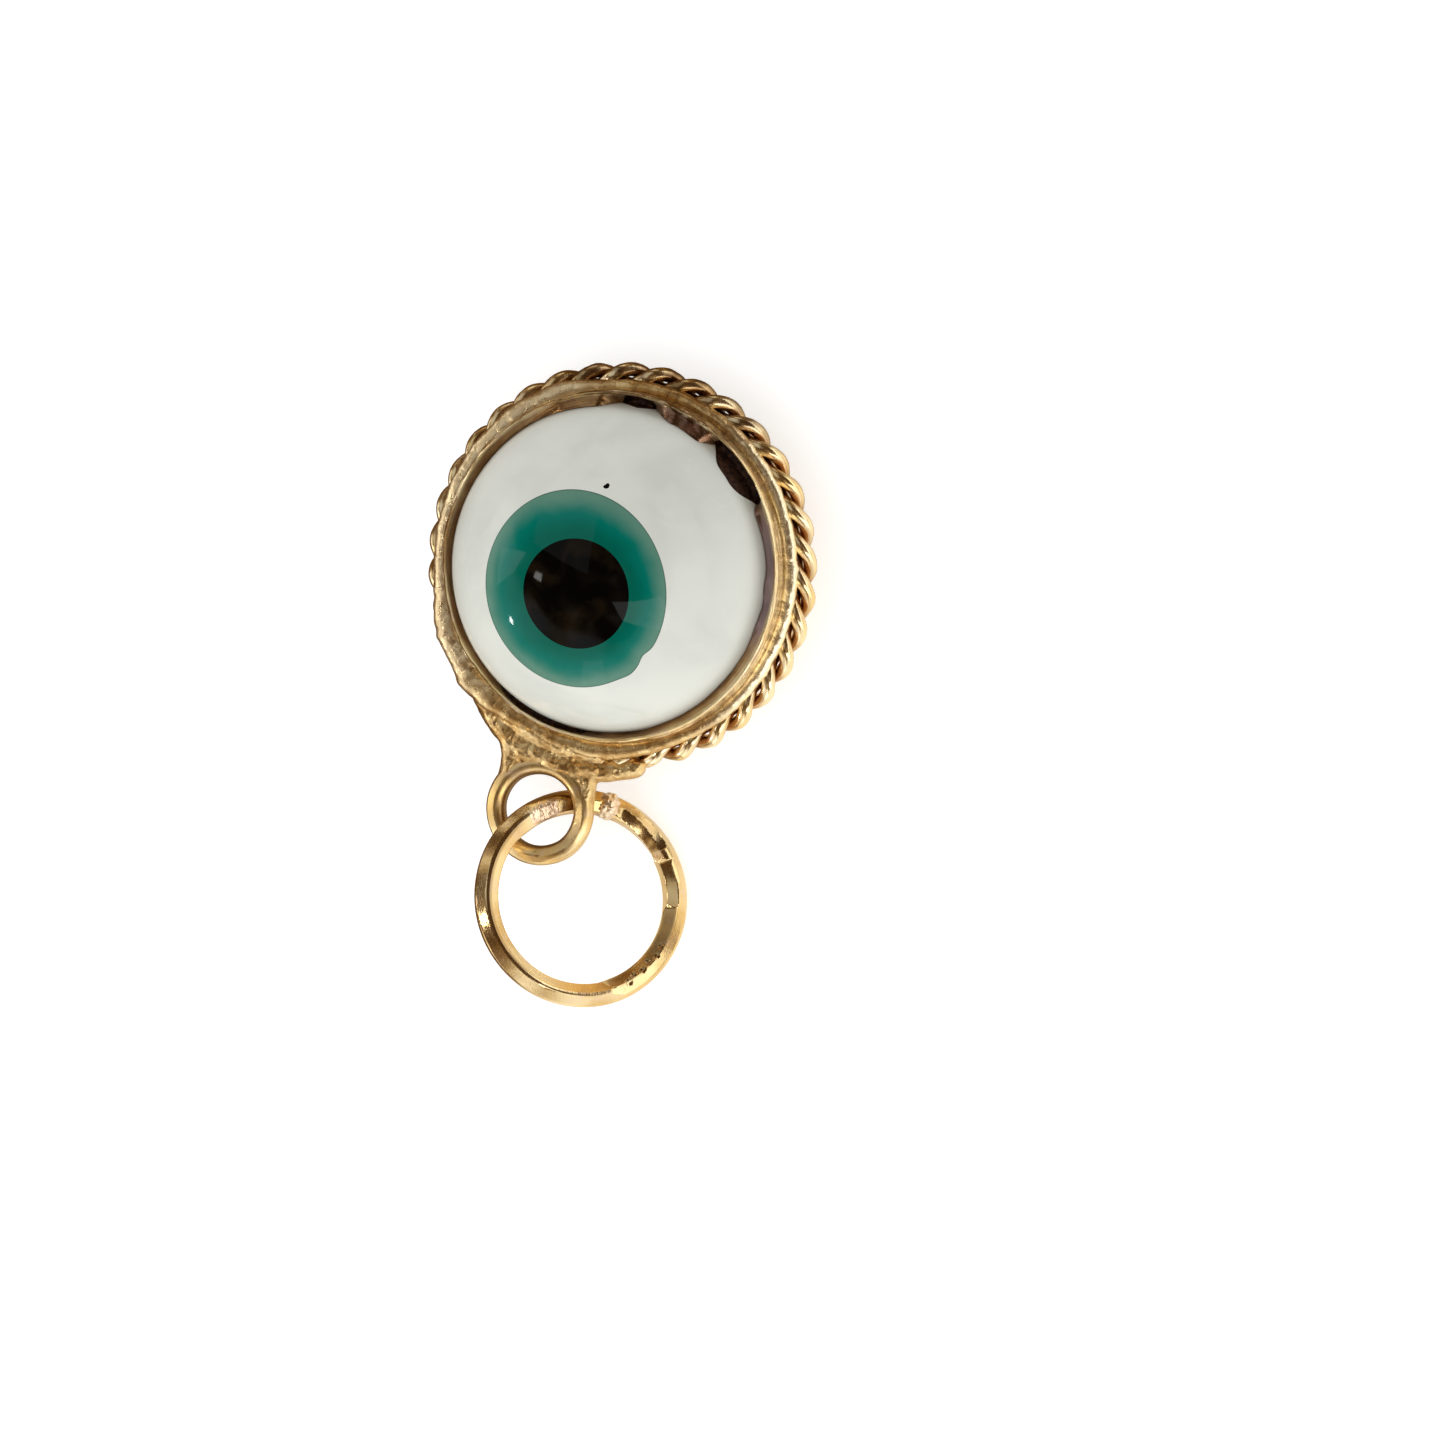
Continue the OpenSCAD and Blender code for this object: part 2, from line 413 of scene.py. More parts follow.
@dataclass(frozen=True)
class Gold:
    """Worked gold: its colour, its painted shade in hollows and dark places, and how it was tooled."""

    name: str
    bright: Colour = (0.96, 0.81, 0.52)
    warm: Colour = (0.86, 0.65, 0.32)
    rose: Colour = (0.86, 0.65, 0.50)
    # dark: the colour of painted shade and painted dark reflections
    dark: Colour = (0.15, 0.065, 0.020)
    # brown: painted shade in the hollows, and also the real streaks along the strip
    brown: Colour = (0.42, 0.22, 0.09)
    streaks: float = 0.0
    mauve: Colour = (0.36, 0.27, 0.33)
    rose_share: float = 0.35
    roughness: float = 0.24
    spread: float = 0.14
    # how strongly the hollows are darkened to brown as painted shade
    painted_hollow_shade: float = 0.5
    hammer: float = 0.010
    scratch: float = 0.0025
    grain: float = 0.0012
    blows: float = 1.7
    patches: float = 2.2
    grains: float = 14.0
    scratches: float = 26.0

    def material(self) -> bpy.types.Material:
        """Builds the material."""
        s = Shader(self.name)
        where = s.own_mm()
        cloud = s.noise(where, 0.55, 3.0)
        patch = s.noise(where, self.patches, 4.0, warp=0.6)
        fine = s.noise(where, self.grains, 3.0)
        lines = s.noise(where, self.scratches, 2.0, stretch=(1.0, 0.12, 1.0))
        hollow = s.attribute("hollow")
        colour = s.mix(cloud.step(0.38, 0.62), self.bright, self.warm)
        colour = s.mix(patch.step(0.52, 0.70) * self.rose_share, colour, self.rose)
        # Painted shade: the gold goes brown in the hollows and under the rim.
        hollow_shade_mask = (hollow * (patch * 0.9 + 0.5) * self.painted_hollow_shade).clamped()
        colour = s.mix(hollow_shade_mask, colour, self.brown)
        if self.streaks:
            lane = s.node("ShaderNodeCombineXYZ", {}, {"Z": s.attribute("lane")}).outputs[0]
            slow = s.vectors("MULTIPLY", where, (0.4, 0.4, 0.0)).outputs[0]
            drawn = s.vectors("ADD", slow, lane).outputs[0]
            streak = s.noise(drawn, 1.0, 4.0)
            colour = s.mix(streak.step(0.50, 0.62) * self.streaks, colour, self.brown)
            lines = streak * 6.0
        colour = s.mix((s.attribute("mauve") * 0.8).clamped(), colour, self.mauve)
        # Painted shade and painted dark reflections, from the number that the mesh carries.
        colour = s.mix((s.attribute("painted_shade") * 0.9).clamped(), colour, self.dark)
        s.put("Base Color", colour)
        s.put("Metallic", 1.0)
        uneven = (fine - 0.5) * self.spread + (patch - 0.5) * self.spread
        s.put("Roughness", (uneven + self.roughness).clamped())
        height = s.noise(where, self.blows, 2.0) * self.hammer
        height = height + lines * self.scratch
        height = height + fine * self.grain
        s.bump(height, 1.0)
        return s.material


@dataclass(frozen=True)
class Solder:
    """Run solder, paler or rosier than the gold and pitted where it cooled, with a painted highlight where
    the light falls on it.
    """

    name: str
    pale: Colour = (0.80, 0.59, 0.29)
    rose: Colour = (0.52, 0.31, 0.11)
    # the colour of the painted highlight
    painted_sheen: Colour = (1.0, 0.88, 0.62)
    roughness: float = 0.3
    pits: float = 0.018

    def material(self) -> bpy.types.Material:
        """Builds the material."""
        s = Shader(self.name)
        where = s.own_mm()
        cloud = s.noise(where, 1.6, 4.0)
        pit = s.noise(where, 6.5, 5.0, warp=0.8)
        colour = s.mix(cloud.step(0.35, 0.65), self.pale, self.rose)
        # Painted highlight: the solder is lightened to cream where the light falls on it.
        s.put("Base Color", s.mix(s.attribute("painted_sheen"), colour, self.painted_sheen))
        s.put("Metallic", 1.0)
        s.put("Roughness", ((pit - 0.5) * 0.3 + self.roughness).clamped())
        s.bump(pit * self.pits, 1.0)
        return s.material


@dataclass(frozen=True)
class Cement:
    """The old brown cement between the glass and the bezel."""

    name: str
    dark: Colour = (0.018, 0.006, 0.003)
    light: Colour = (0.065, 0.024, 0.010)
    grains: float = 7.0
    crumbs: float = 0.03
    gloss: float = 0.2

    def material(self) -> bpy.types.Material:
        """Builds the material."""
        s = Shader(self.name)
        grain = s.noise(s.own_mm(), self.grains, 5.0)
        s.put("Base Color", s.mix(grain.step(0.4, 0.65), self.dark, self.light))
        s.put("Roughness", (grain * 0.3 + 0.5).clamped())
        s.bump(grain * self.crumbs, 1.0)
        s.put("Specular IOR Level", self.gloss)
        return s.material


@dataclass(frozen=True)
class Glass:
    """What every glass here shares: its polish and the faint ripple of hand-worked glass."""

    name: str
    ior: float = 1.52
    gloss: float = 0.12
    ripple: float = 0.0010
    ripples: float = 2.4

    def polish(self, s: Shader, where: bpy.types.NodeSocket, roughness: Value) -> bpy.types.Material:
        """Gives a shader the gloss and the ripple.

        Args:
            s: the shader, with its colour already in place.
            where: the piece's own coordinates.
            roughness: how dull the surface is at each place.

        Returns:
            The finished material.
        """
        s.put("Roughness", roughness.clamped())
        s.put("IOR", self.ior)
        s.put("Specular IOR Level", self.gloss)
        s.bump(s.noise(where, self.ripples, 2.0) * self.ripple, 1.0)
        return s.material


@dataclass(frozen=True)
class OpalGlass(Glass):
    """White opal glass, clouded, with a soft gloss."""

    ior: float = 1.5
    gloss: float = 0.25
    ripple: float = 0.0012
    pale: Colour = (0.86, 0.87, 0.80)
    grey: Colour = (0.76, 0.78, 0.72)
    edge: Colour = (0.80, 0.79, 0.70)

    def material(self) -> bpy.types.Material:
        """Builds the material."""
        s = Shader(self.name)
        where = s.own_mm()
        cloud = s.noise(where, 0.28, 3.0, warp=0.4)
        haze = s.noise(where, 1.4, 4.0, warp=1.2)
        rim = s.attribute("rim")
        colour = s.mix(cloud.step(0.36, 0.66), self.pale, self.grey)
        colour = s.mix((haze.step(0.5, 0.75) * 0.35).clamped(), colour, self.pale)
        s.put("Base Color", s.mix(rim, colour, self.edge))
        return self.polish(s, where, haze * 0.06 + 0.07)


@dataclass(frozen=True)
class TealGlass(Glass):
    """The iris: deep teal at the pupil, fading to a milky grey-green with a thin dark line."""

    deep: Colour = (0.000, 0.125, 0.085)
    middle: Colour = (0.000, 0.184, 0.138)
    milky: Colour = (0.130, 0.285, 0.215)
    line: Colour = (0.04, 0.080, 0.060)

    def material(self) -> bpy.types.Material:
        """Builds the material."""
        s = Shader(self.name)
        where = s.own_mm()
        out = s.attribute("out")
        cloud = s.noise(where, 0.75, 3.0, warp=0.5)
        place = (out + (cloud - 0.5) * 0.42).clamped()
        colour = s.mix(place.step(0.05, 0.62), self.deep, self.middle)
        colour = s.mix(place.step(0.48, 1.0), colour, self.milky)
        s.put("Base Color", s.mix(out.step(0.972, 0.992) * 0.75, colour, self.line))
        return self.polish(s, where, cloud * 0.05 + 0.03)


@dataclass(frozen=True)
class BlackGlass(Glass):
    """The pupil: black glass with a trace of brown in it."""

    gloss: float = 0.09
    black: Colour = (0.0015, 0.0013, 0.0012)
    brown: Colour = (0.010, 0.006, 0.003)

    def material(self) -> bpy.types.Material:
        """Builds the material."""
        s = Shader(self.name)
        where = s.own_mm()
        cloud = s.noise(where, 1.1, 3.0, warp=0.5)
        s.put("Base Color", s.mix(cloud.step(0.45, 0.7), self.black, self.brown))
        return self.polish(s, where, cloud * 0.05 + 0.03)


def paint(piece: bpy.types.Object, name: str, rule: Callable[[Vector], float]) -> None:
    """Keeps a number at each point of a mesh for its material to read.

    Args:
        piece: the object.
        name: the number's name.
        rule: gives it from the point's place in metres.
    """
    layer = piece.data.attributes.new(name, "FLOAT", "POINT")
    layer.data.foreach_set("value", [rule(v.co) for v in piece.data.vertices])


# ---------------------------------------------------------------- the eye


@dataclass
class GlassEye:
    """The glass eye: a white dome with a teal iris and a black pupil set into it."""

    dome_r: float
    dome_z: float
    eye_r: float
    eye_z: float
    girdle_z: float
    iris_r: float = 2.80
    iris_lean: float = 5.8
    iris_heading: float = -77.0
    iris_depth: float = 0.45
    pupil_r: float = 1.58
    pupil_lean: float = 7.0
    pupil_heading: float = -55.0
    pupil_depth: float = 0.40
    columns: int = 288
    gap: float = 0.0015
    swell: float = 0.08
    iris_notch: tuple[float, float, float] = (0.034, -26.0, 5.0)
    iris_shoulder: tuple[float, float, float] = (0.022, -40.0, 6.0)

    @staticmethod
    def from_frame() -> "GlassEye":
        """Reads the eye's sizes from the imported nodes."""
        low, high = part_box("eye_white")
        tops = [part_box(node)[1].z for node in ("eye_white", "iris_glass", "pupil_glass")]
        eye_r = (high.x - low.x) / 2 / MM
        dome_r = eye_r + GlassEye.swell
        dome_z = max(tops) / MM - dome_r
        girdle_z = dome_z + math.sqrt(dome_r ** 2 - eye_r ** 2)
        return GlassEye(dome_r, dome_z, eye_r, low.z / MM, girdle_z)

    def surface_z(self, r: float) -> float:
        """The dome's height at a distance from the eye's axis."""
        return self.dome_z + math.sqrt(max(0.0, self.dome_r ** 2 - r * r))

    def iris_frame(self) -> Matrix:
        """Turns the iris's own axis to where it leans."""
        return self._frame(self.iris_lean, self.iris_heading)

    def pupil_frame(self) -> Matrix:
        """Turns the pupil's own axis to where it leans."""
        return self._frame(self.pupil_lean, self.pupil_heading)

    @staticmethod
    def _frame(lean: float, heading: float) -> Matrix:
        """A turn by lean degrees towards a heading."""
        return Matrix.Rotation(math.radians(heading), 3, "Z") @ Matrix.Rotation(math.radians(lean), 3, "Y")

    def iris_edge(self, turn: float) -> float:
        """The iris's half width as an angle at the dome's centre, with its egg shape and its notch."""
        degrees = math.degrees(turn) + self.iris_heading
        egg = 1 + 0.030 * math.cos(math.radians(2 * (degrees - 112)))
        egg += 0.018 * math.cos(math.radians(degrees - 285))
        notch, shoulder = (
            height * math.exp(-(apart(degrees, at) / wide) ** 2)
            for height, at, wide in (self.iris_notch, self.iris_shoulder)
        )
        return math.asin(self.iris_r / self.dome_r) * (egg - notch + shoulder)

    def pupil_edge(self, turn: float) -> float:
        """The pupil's half width as an angle at the dome's centre."""
        wobble = 1 + 0.010 * math.cos(2 * turn + 0.6) + 0.006 * math.cos(3 * turn)
        return math.asin(self.pupil_r / self.dome_r) * wobble

    def on_dome(self, turn_frame: Matrix, away: float, turn: float, radius: float) -> Vector:
        """A point at an angle away from an axis through the dome's centre.

        Args:
            turn_frame: turns +Z to that axis.
            away: the angle from the axis.
            turn: the angle round it.
            radius: the distance from the dome's centre, in millimetres.

        Returns:
            The place in metres.
        """
        own = Vector((math.sin(away) * math.cos(turn), math.sin(away) * math.sin(turn), math.cos(away)))
        return (turn_frame @ own * radius + Vector((0, 0, self.dome_z))) * MM

    def girdle_angle(self, turn: float) -> float:
        """How far from the iris's axis the dome meets the girdle, round that axis."""
        axis = self.iris_frame() @ Vector((0, 0, 1))
        side = self.iris_frame() @ Vector((math.cos(turn), math.sin(turn), 0))
        level = (self.girdle_z - self.dome_z) / self.dome_r
        reach = math.hypot(axis.z, side.z)
        return math.atan2(side.z, axis.z) + math.acos(level / reach)

    def white(self, finish: bpy.types.Material) -> None:
        """The white glass, with a hollow where the iris sits."""
        dome, fall, under = 44, 10, 12
        frame3 = self.iris_frame()
        centre = Vector((0, 0, self.dome_z))
        floor_r = self.dome_r - self.iris_depth
        floor = 5

        def place(index: int, turn: float) -> Vector:
            """Down the dome, down the girdle, in under the glass and over the iris's hollow."""
            edge = self.iris_edge(turn) + self.gap / self.dome_r
            girdle = self.girdle_angle(turn)
            if index <= dome:
                share = index / dome
                return self.on_dome(frame3, blend(edge, girdle, share), turn, self.dome_r)
            rim = self.on_dome(frame3, girdle, turn, self.dome_r) / MM
            flat = Vector((rim.x, rim.y, 0)).normalized()
            if index <= dome + fall:
                share = (index - dome) / fall
                return (flat * self.eye_r + UP * blend(self.girdle_z, self.eye_z, share)) * MM
            if index <= dome + fall + under:
                share = 1 - (index - dome - fall) / under
                return (flat * self.eye_r * share + UP * self.eye_z) * MM
            rest = index - dome - fall - under
            if rest == 1:
                return (centre + frame3 @ UP * floor_r) * MM
            return self.on_dome(frame3, edge * (rest - 1) / (floor - 1), turn, floor_r)

        sides = dome + fall + under + 1 + floor
        work = Work("white_glass").turned(sides, self.columns, place).tidy()
        piece = work.finished(Body.CHARM, Slot.WHITE_GLASS, finish, ["eye_white"])
        low = (self.girdle_z - 0.15) * MM
        high = (self.girdle_z + 1.35) * MM
        paint(piece, "rim", lambda p: 1 - smooth(low, high, p.z))

    def inlay(
        self, name: str, frame3: Matrix, edge: Callable[[float], float], depth: float,
        inner: Callable[[Vector], float] | None, slot: Slot, finish: bpy.types.Material, node: str,
    ) -> None:
        """A glass inlay that is flush with the dome.

        Args:
            name: the piece's name.
            frame3: turns +Z to the inlay's axis.
            edge: its outline, as an angle at the dome's centre.
            depth: how deep it sits, in millimetres.
            inner: how far out a point lies, for the material; None for a plain inlay.
            slot: the record's material slot.
            finish: its material.
            node: the CAD node that it stands for.
        """
        top, side, under = 40, 3, 8
        face_r = self.dome_r + self.gap
        back_r = self.dome_r - depth

        def place(index: int, turn: float) -> Vector:
            """Over the inlay's face, down its side and back under it."""
            outline = edge(turn)
            if index <= top:
                return self.on_dome(frame3, outline * index / top, turn, face_r)
            if index <= top + side:
                share = (index - top) / side
                return self.on_dome(frame3, outline, turn, blend(face_r, back_r, share))
            share = 1 - (index - top - side) / under
            return self.on_dome(frame3, outline * share, turn, back_r)

        work = Work(name).turned(top + side + under + 1, self.columns, place).tidy()
        piece = work.finished(Body.CHARM, slot, finish, [node])
        if inner:
            paint(piece, "out", inner)

    def iris_out(self, p: Vector) -> float:
        """0 at the pupil's edge and 1 at the iris's edge."""
        from_centre = p / MM - Vector((0, 0, self.dome_z))
        own = self.iris_frame().inverted() @ from_centre
        outline = self.iris_edge(math.atan2(own.y, own.x))
        away = math.atan2(math.hypot(own.x, own.y), own.z)
        mine = self.pupil_frame().inverted() @ from_centre
        start = self.pupil_edge(math.atan2(mine.y, mine.x))
        inward = math.atan2(math.hypot(mine.x, mine.y), mine.z) - start
        band = max(1e-6, inward + outline - away)
        return min(1.0, max(0.0, inward / band))

    def fleck(
        self, name: str, heading: float, lean: float, size: float, finish: bpy.types.Material,
    ) -> None:
        """A speck of dark glass sunk in the dome.

        Args:
            name: the piece's name.
            heading: which way from the eye's axis it lies, in degrees.
            lean: how far from that axis it lies, in degrees.
            size: its half width in millimetres.
            finish: its material.
        """
        frame3 = self._frame(lean, heading)
        shares = (0.0, 0.6, 1.0, 0.9, 0.0)
        heights = (0.004, 0.003, 0.0, -0.02, -0.03)

        def place(index: int, turn: float) -> Vector:
            """Over the speck's face and back under it."""
            shape = size * (1 + 0.16 * math.cos(2 * turn + 0.9) + 0.10 * math.cos(3 * turn))
            away = shape * shares[index] / self.dome_r
            return self.on_dome(frame3, away, turn, self.dome_r + heights[index])

        Work(name).turned(len(shares), 24, place).tidy().finished(Body.CHARM, Slot.BLACK_GLASS, finish)

    def build(self, white: bpy.types.Material, teal: bpy.types.Material, black: bpy.types.Material) -> None:
        """Makes every glass piece."""
        self.white(white)
        self.inlay(
            "teal_iris", self.iris_frame(), self.iris_edge, self.iris_depth, self.iris_out,
            Slot.TEAL_GLASS, teal, "iris_glass",
        )
        # The pupil stands proud of the iris by as much as the iris does of the white.
        self.gap *= 2
        self.inlay(
            "black_pupil", self.pupil_frame(), self.pupil_edge, self.pupil_depth, None,
            Slot.BLACK_GLASS, black, "pupil_glass",
        )
        self.fleck("fleck", 89, 33, 0.085, black)


# ---------------------------------------------------------------- the setting


def painted_top_shade(p: Vector) -> float:
    """Painted shade at the top of the eye, broken into flecks: how much darker the gold is painted there."""
    fleck = noise.noise(p / MM * 2.4) + 0.5 * noise.noise(p / MM * 6.0)
    return window(round_axis(p), 60, 126, 10) * min(1.0, max(0.0, 0.55 + 0.9 * fleck))


@dataclass
class Bezel:
    """The strip of gold that was rubbed over onto the glass by hand."""

    eye: GlassEye
    inner_r: float
    outer_r: float
    foot_z: float
    rim_z: float
    rim_r: float = 5.075
    rim_lean: float = 0.10
    toe_r: float = 4.755
    open_r: float = 4.96
    clearance: float = 0.006
    columns: int = 1080
    parts: tuple[int, ...] = (4, 3, 4, 5, 5, 4, 3, 3, 4, 6, 3, 4, 4, 4, 2, 2)

    @staticmethod
    def from_frame(eye: GlassEye) -> "Bezel":
        """Reads the strip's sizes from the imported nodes."""
        low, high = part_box("bezel_wall")
        outer_r = (high.x - low.x) / 2 / MM
        return Bezel(eye, eye.eye_r + 0.06, outer_r, low.z / MM, high.z / MM)

    @staticmethod
    def slack(angle: float) -> float:
        """1 where the strip stands away from the glass."""
        right = window(angle, 44, 66, 6)
        top = 0.8 * window(angle, 92, 104, 9)
        foot = 0.7 * window(angle, 248, 277, 12)
        return max(right, top, foot)

    @staticmethod
    def fold(angle: float) -> float:
        """1 where the strip is crumpled over onto the glass."""
        return window(angle, 70, 89, 4)

    @staticmethod
    def lit(angle: float) -> float:
        """How far the strip leans out, from 1 at the eye's upper right to -1 across from it."""
        return math.cos(math.radians(angle - 48))

    def toe(self, angle: float) -> float:
        """How far out the strip's edge touches the glass."""
        reach = self.toe_r - 0.06 * window(angle, 42, 126, 14) + 0.035 * window(angle, -115, -50, 20)
        return reach + 0.05 * window(angle, 150, 240, 25)

    def corners(self, angle: float) -> list[tuple[float, float]]:
        """The strip's section at one angle as (radius, height), from its outer foot over the rim.

        Args:
            angle: the place round the bezel in degrees.

        Returns:
            The corners, up the outside, over the rim and down the inside.
        """
        slack = self.slack(angle)
        fold = self.fold(angle)
        sway = round_noise(angle, 8, 1.3)
        rim_r = self.rim_r + self.rim_lean * self.lit(angle) + 0.03 * sway + 0.02 * slack
        rim_z = self.rim_z - 0.03 + 0.07 * round_noise(angle, 7, 7.7) + 0.03 * round_noise(angle, 30, 2.2)
        rim_z += fold * 0.03 * round_noise(angle, 60, 5.9)
        toe_r = blend(self.toe(angle) + 0.02 * round_noise(angle, 21, 3.3), self.open_r, slack)
        toe_r -= fold * (0.02 + 0.025 * round_noise(angle, 30, 4.4))
        toe_z = blend(self.eye.surface_z(toe_r) + 0.012, self.eye.girdle_z - 0.05, slack)
        fat = 0.05 + 0.02 * round_noise(angle, 25, 6.1)
        ridge = 0.03 * round_noise(angle, 17, 8.3) + fold * 0.03 * round_noise(angle, 26, 9.9)
        dip = 0.05 * round_noise(angle, 12, 5.5)
        middle_r = blend(rim_r - 0.06, toe_r, 0.52)
        middle_z = blend(rim_z, toe_z, 0.62) + ridge
        outside = [
            (self.outer_r, self.foot_z), (self.outer_r, 2.10), (5.14, 2.38), (5.14 + ridge, 2.66),
            (5.12 + dip + 0.3 * (rim_r - 5.08), 2.98), (rim_r + 0.02 - dip, rim_z - 0.20),
        ]
        rim = [
            (rim_r + 0.012, rim_z - 0.04), (rim_r - 0.02, rim_z),
            (rim_r - 0.055, rim_z - 0.012), (rim_r - 0.085, rim_z - 0.06),
        ]
        inside = [
            (middle_r, middle_z), (toe_r + 0.02, toe_z + fat), (toe_r, toe_z + 0.015),
            (toe_r + 0.035, toe_z - 0.05), (self.inner_r + 0.02, self.eye.girdle_z - 0.1),
            (self.inner_r, self.foot_z),
        ]
        return outside + rim + inside

    def wall(self, finish: bpy.types.Material) -> None:
        """The strip itself, with its waves, tool marks and gaps."""
        stops = [(k, j / n) for k, n in enumerate(self.parts) for j in range(n)]
        step = TURN / self.columns
        sections = [self.corners(math.degrees(step * k)) for k in range(self.columns)]

        def place(index: int, turn: float) -> Vector:
            """Up the outside of the strip, over its rim and down to the glass."""
            angle = math.degrees(turn)
            corners = sections[round(turn / step) % self.columns]
            k, share = stops[index]
            r0, z0 = corners[k]
            r1, z1 = corners[(k + 1) % len(corners)]
            r, z = blend(r0, r1, share), blend(z0, z1, share)
            worked = smooth(2.5, 2.8, z)
            streak = 0.016 * round_noise(angle, 24, 9.4, z * 14 - r * 9)
            streak += 0.009 * round_noise(angle, 60, 2.7, z * 30)
            crumple = self.fold(angle) * 0.07 * round_noise(angle, 26, 3.3, z * 16 + r * 20)
            r += worked * (streak + crumple)
            z += worked * 0.5 * streak
            if z > self.eye.girdle_z - 0.02:
                glass_r = math.sqrt(max(0.0, self.eye.dome_r ** 2 - (z - self.eye.dome_z) ** 2))
                r = max(r, glass_r + self.clearance)
            return ring_point(r, turn, z)

        work = Work("bezel_strip").turned(len(stops), self.columns, place).tidy()
        piece = work.finished(Body.CHARM, Slot.GOLD_BURNISHED, finish, ["bezel_wall", "bezel_seam"])

        def hollow(p: Vector) -> float:
            """1 on the inside of the strip, under the rim, where the gold is darkened as painted shade."""
            edge = self.rim_r + self.rim_lean * self.lit(round_axis(p))
            return smooth(edge - 0.06, edge - 0.16, from_axis(p))

        def mauve(p: Vector) -> float:
            """1 on the inner face at the eye's right, which has a purple cast."""
            angle = round_axis(p)
            return hollow(p) * max(window(angle, -6, 40, 8), 0.75 * self.fold(angle))

        def painted_shade(p: Vector) -> float:
            """Painted shade and painted dark reflection: 1 on the inner face at the eye's top right, and on
            the line along the glass.
            """
            r = from_axis(p)
            angle = round_axis(p)
            fleck = 0.5 + 0.9 * round_noise(angle, 22, 4.9, r * 16 - p.z / MM * 12)
            top = window(angle, 36, 112, 9) * smooth(5.10, 5.03, r)
            foot = window(angle, -84, -12, 10) * smooth(4.90, 4.84, r)
            # Painted shade along the crease where the strip meets the glass.
            line = smooth(4.83, 4.79, r) * 0.6
            inside = max(top * (0.45 + fleck * 0.6), foot * (0.6 + fleck * 0.4), line) * hollow(p)
            return min(1.0, max(inside, 0.7 * painted_top_shade(p) * smooth(2.3, 2.7, p.z / MM)))

        def lane(p: Vector) -> float:
            """How far across the strip, for streaks that run along it."""
            return 14.0 * (p.z / MM) - 18.0 * from_axis(p)

        for name, rule in (("lane", lane), ("painted_shade", painted_shade), ("hollow", hollow), ("mauve", mauve)):
            paint(piece, name, rule)

    def cement_and_gap_shadow(self, finish: bpy.types.Material) -> None:
        """Dark cement that shows where the strip stands away, spread onto the glass as a painted shadow of
        the gap.
        """
        rows = 18
        outer = 4.985
        thick = 0.028

        def place(index: int, turn: float) -> Vector:
            """Out over the cement's face and back under it."""
            angle = math.degrees(turn)
            slack = self.slack(angle)
            edge = 4.70 - 0.115 * window(angle, 45, 63, 9) + 0.05 * window(angle, 250, 275, 10)
            edge += 0.02 * round_noise(angle, 40, 1.9)
            inner = blend(4.86, edge, slack)
            share = min(index, rows - index) / (rows / 2)
            r = blend(inner, outer, share)
            past = self.eye.girdle_z - 0.2 * (r - self.eye.eye_r)
            low = self.eye.surface_z(r) if r < self.eye.eye_r else past
            low = max(low, self.eye.girdle_z - 0.08)
            crumbly = 1 + 0.5 * round_noise(angle, 60, 6.3, share * 3)
            bulge = thick * math.sin(math.pi * share) * slack * crumbly
            z = low + 0.004 * slack + bulge if index <= rows / 2 else low - 0.06
            return ring_point(r, turn, z)

        # Painted shadow: the dark cement reaches onto the glass to stand for the shadow in the gap.
        work = Work("cement_and_gap_shadow").turned(rows, 720, place).tidy()
        work.finished(Body.CHARM, Slot.CEMENT, finish)


@dataclass
class Rope:
    """Two strands of wire twisted together and laid round the bezel."""

    middle_r: float = 5.51
    middle_z: float = 2.0
    strand_r: float = 0.22
    twists: int = 17
    steps: int = 17 * 28
    sides: int = 14
    wear: float = 0.12

    def strand(self, name: str, node: str, phase: float, finish: bpy.types.Material) -> None:
        """One strand, closed on itself."""

        def line(turn: float) -> Vector:
            """The middle of the strand, in millimetres."""
            twist = self.twists * turn + phase
            r = self.middle_r + self.strand_r * math.cos(twist)
            z = self.middle_z + self.strand_r * math.sin(twist)
            return Vector((r * math.cos(turn), r * math.sin(turn), z))

        def place(index: int, turn: float) -> Vector:
            """Round the wire, which is worn on top and hammered flat in places."""
            angle = math.degrees(turn)
            here = line(turn)
            small = 0.001
            along = (line(turn + small) - line(turn - small)).normalized()
            flat = Vector((math.cos(turn), math.sin(turn), 0))
            side = (flat - along * flat.dot(along)).normalized()
            over = along.cross(side)
            psi = TURN * index / self.sides
            girth = self.strand_r * (0.97 + 0.04 * round_noise(angle, 60, 8.8, phase))
            out = side * math.cos(psi) + over * math.sin(psi)
            worn = 1 - self.wear * smooth(0.70, 1.0, out.z)
            spot = here + out * girth
            facet = min(0.0, noise.noise(spot * 2.2)) * 0.14
            facet += min(0.0, noise.noise(spot * 5.0)) * 0.06
            return (here + out * girth * (worn + facet)) * MM

        work = Work(name).turned(self.sides, self.steps, place).tidy()
        piece = work.finished(Body.CHARM, Slot.GOLD_ROPE, finish, [node], crease=70)

        def hollow(p: Vector) -> float:
            """1 deep in the groove between the strands, where the gold is darkened as painted shade."""
            away = math.hypot(from_axis(p) - self.middle_r, p.z / MM - self.middle_z)
            return 1 - smooth(0.22, 0.40, away)

        paint(piece, "hollow", hollow)
        # Painted shade on the rope at the top of the eye.
        paint(piece, "painted_shade", lambda p: 0.9 * painted_top_shade(p))

    def build(self, finish: bpy.types.Material) -> None:
        """Makes both strands."""
        self.strand("rope_a", "rope_strand_a", 0.0, finish)
        self.strand("rope_b", "rope_strand_b", math.pi, finish)


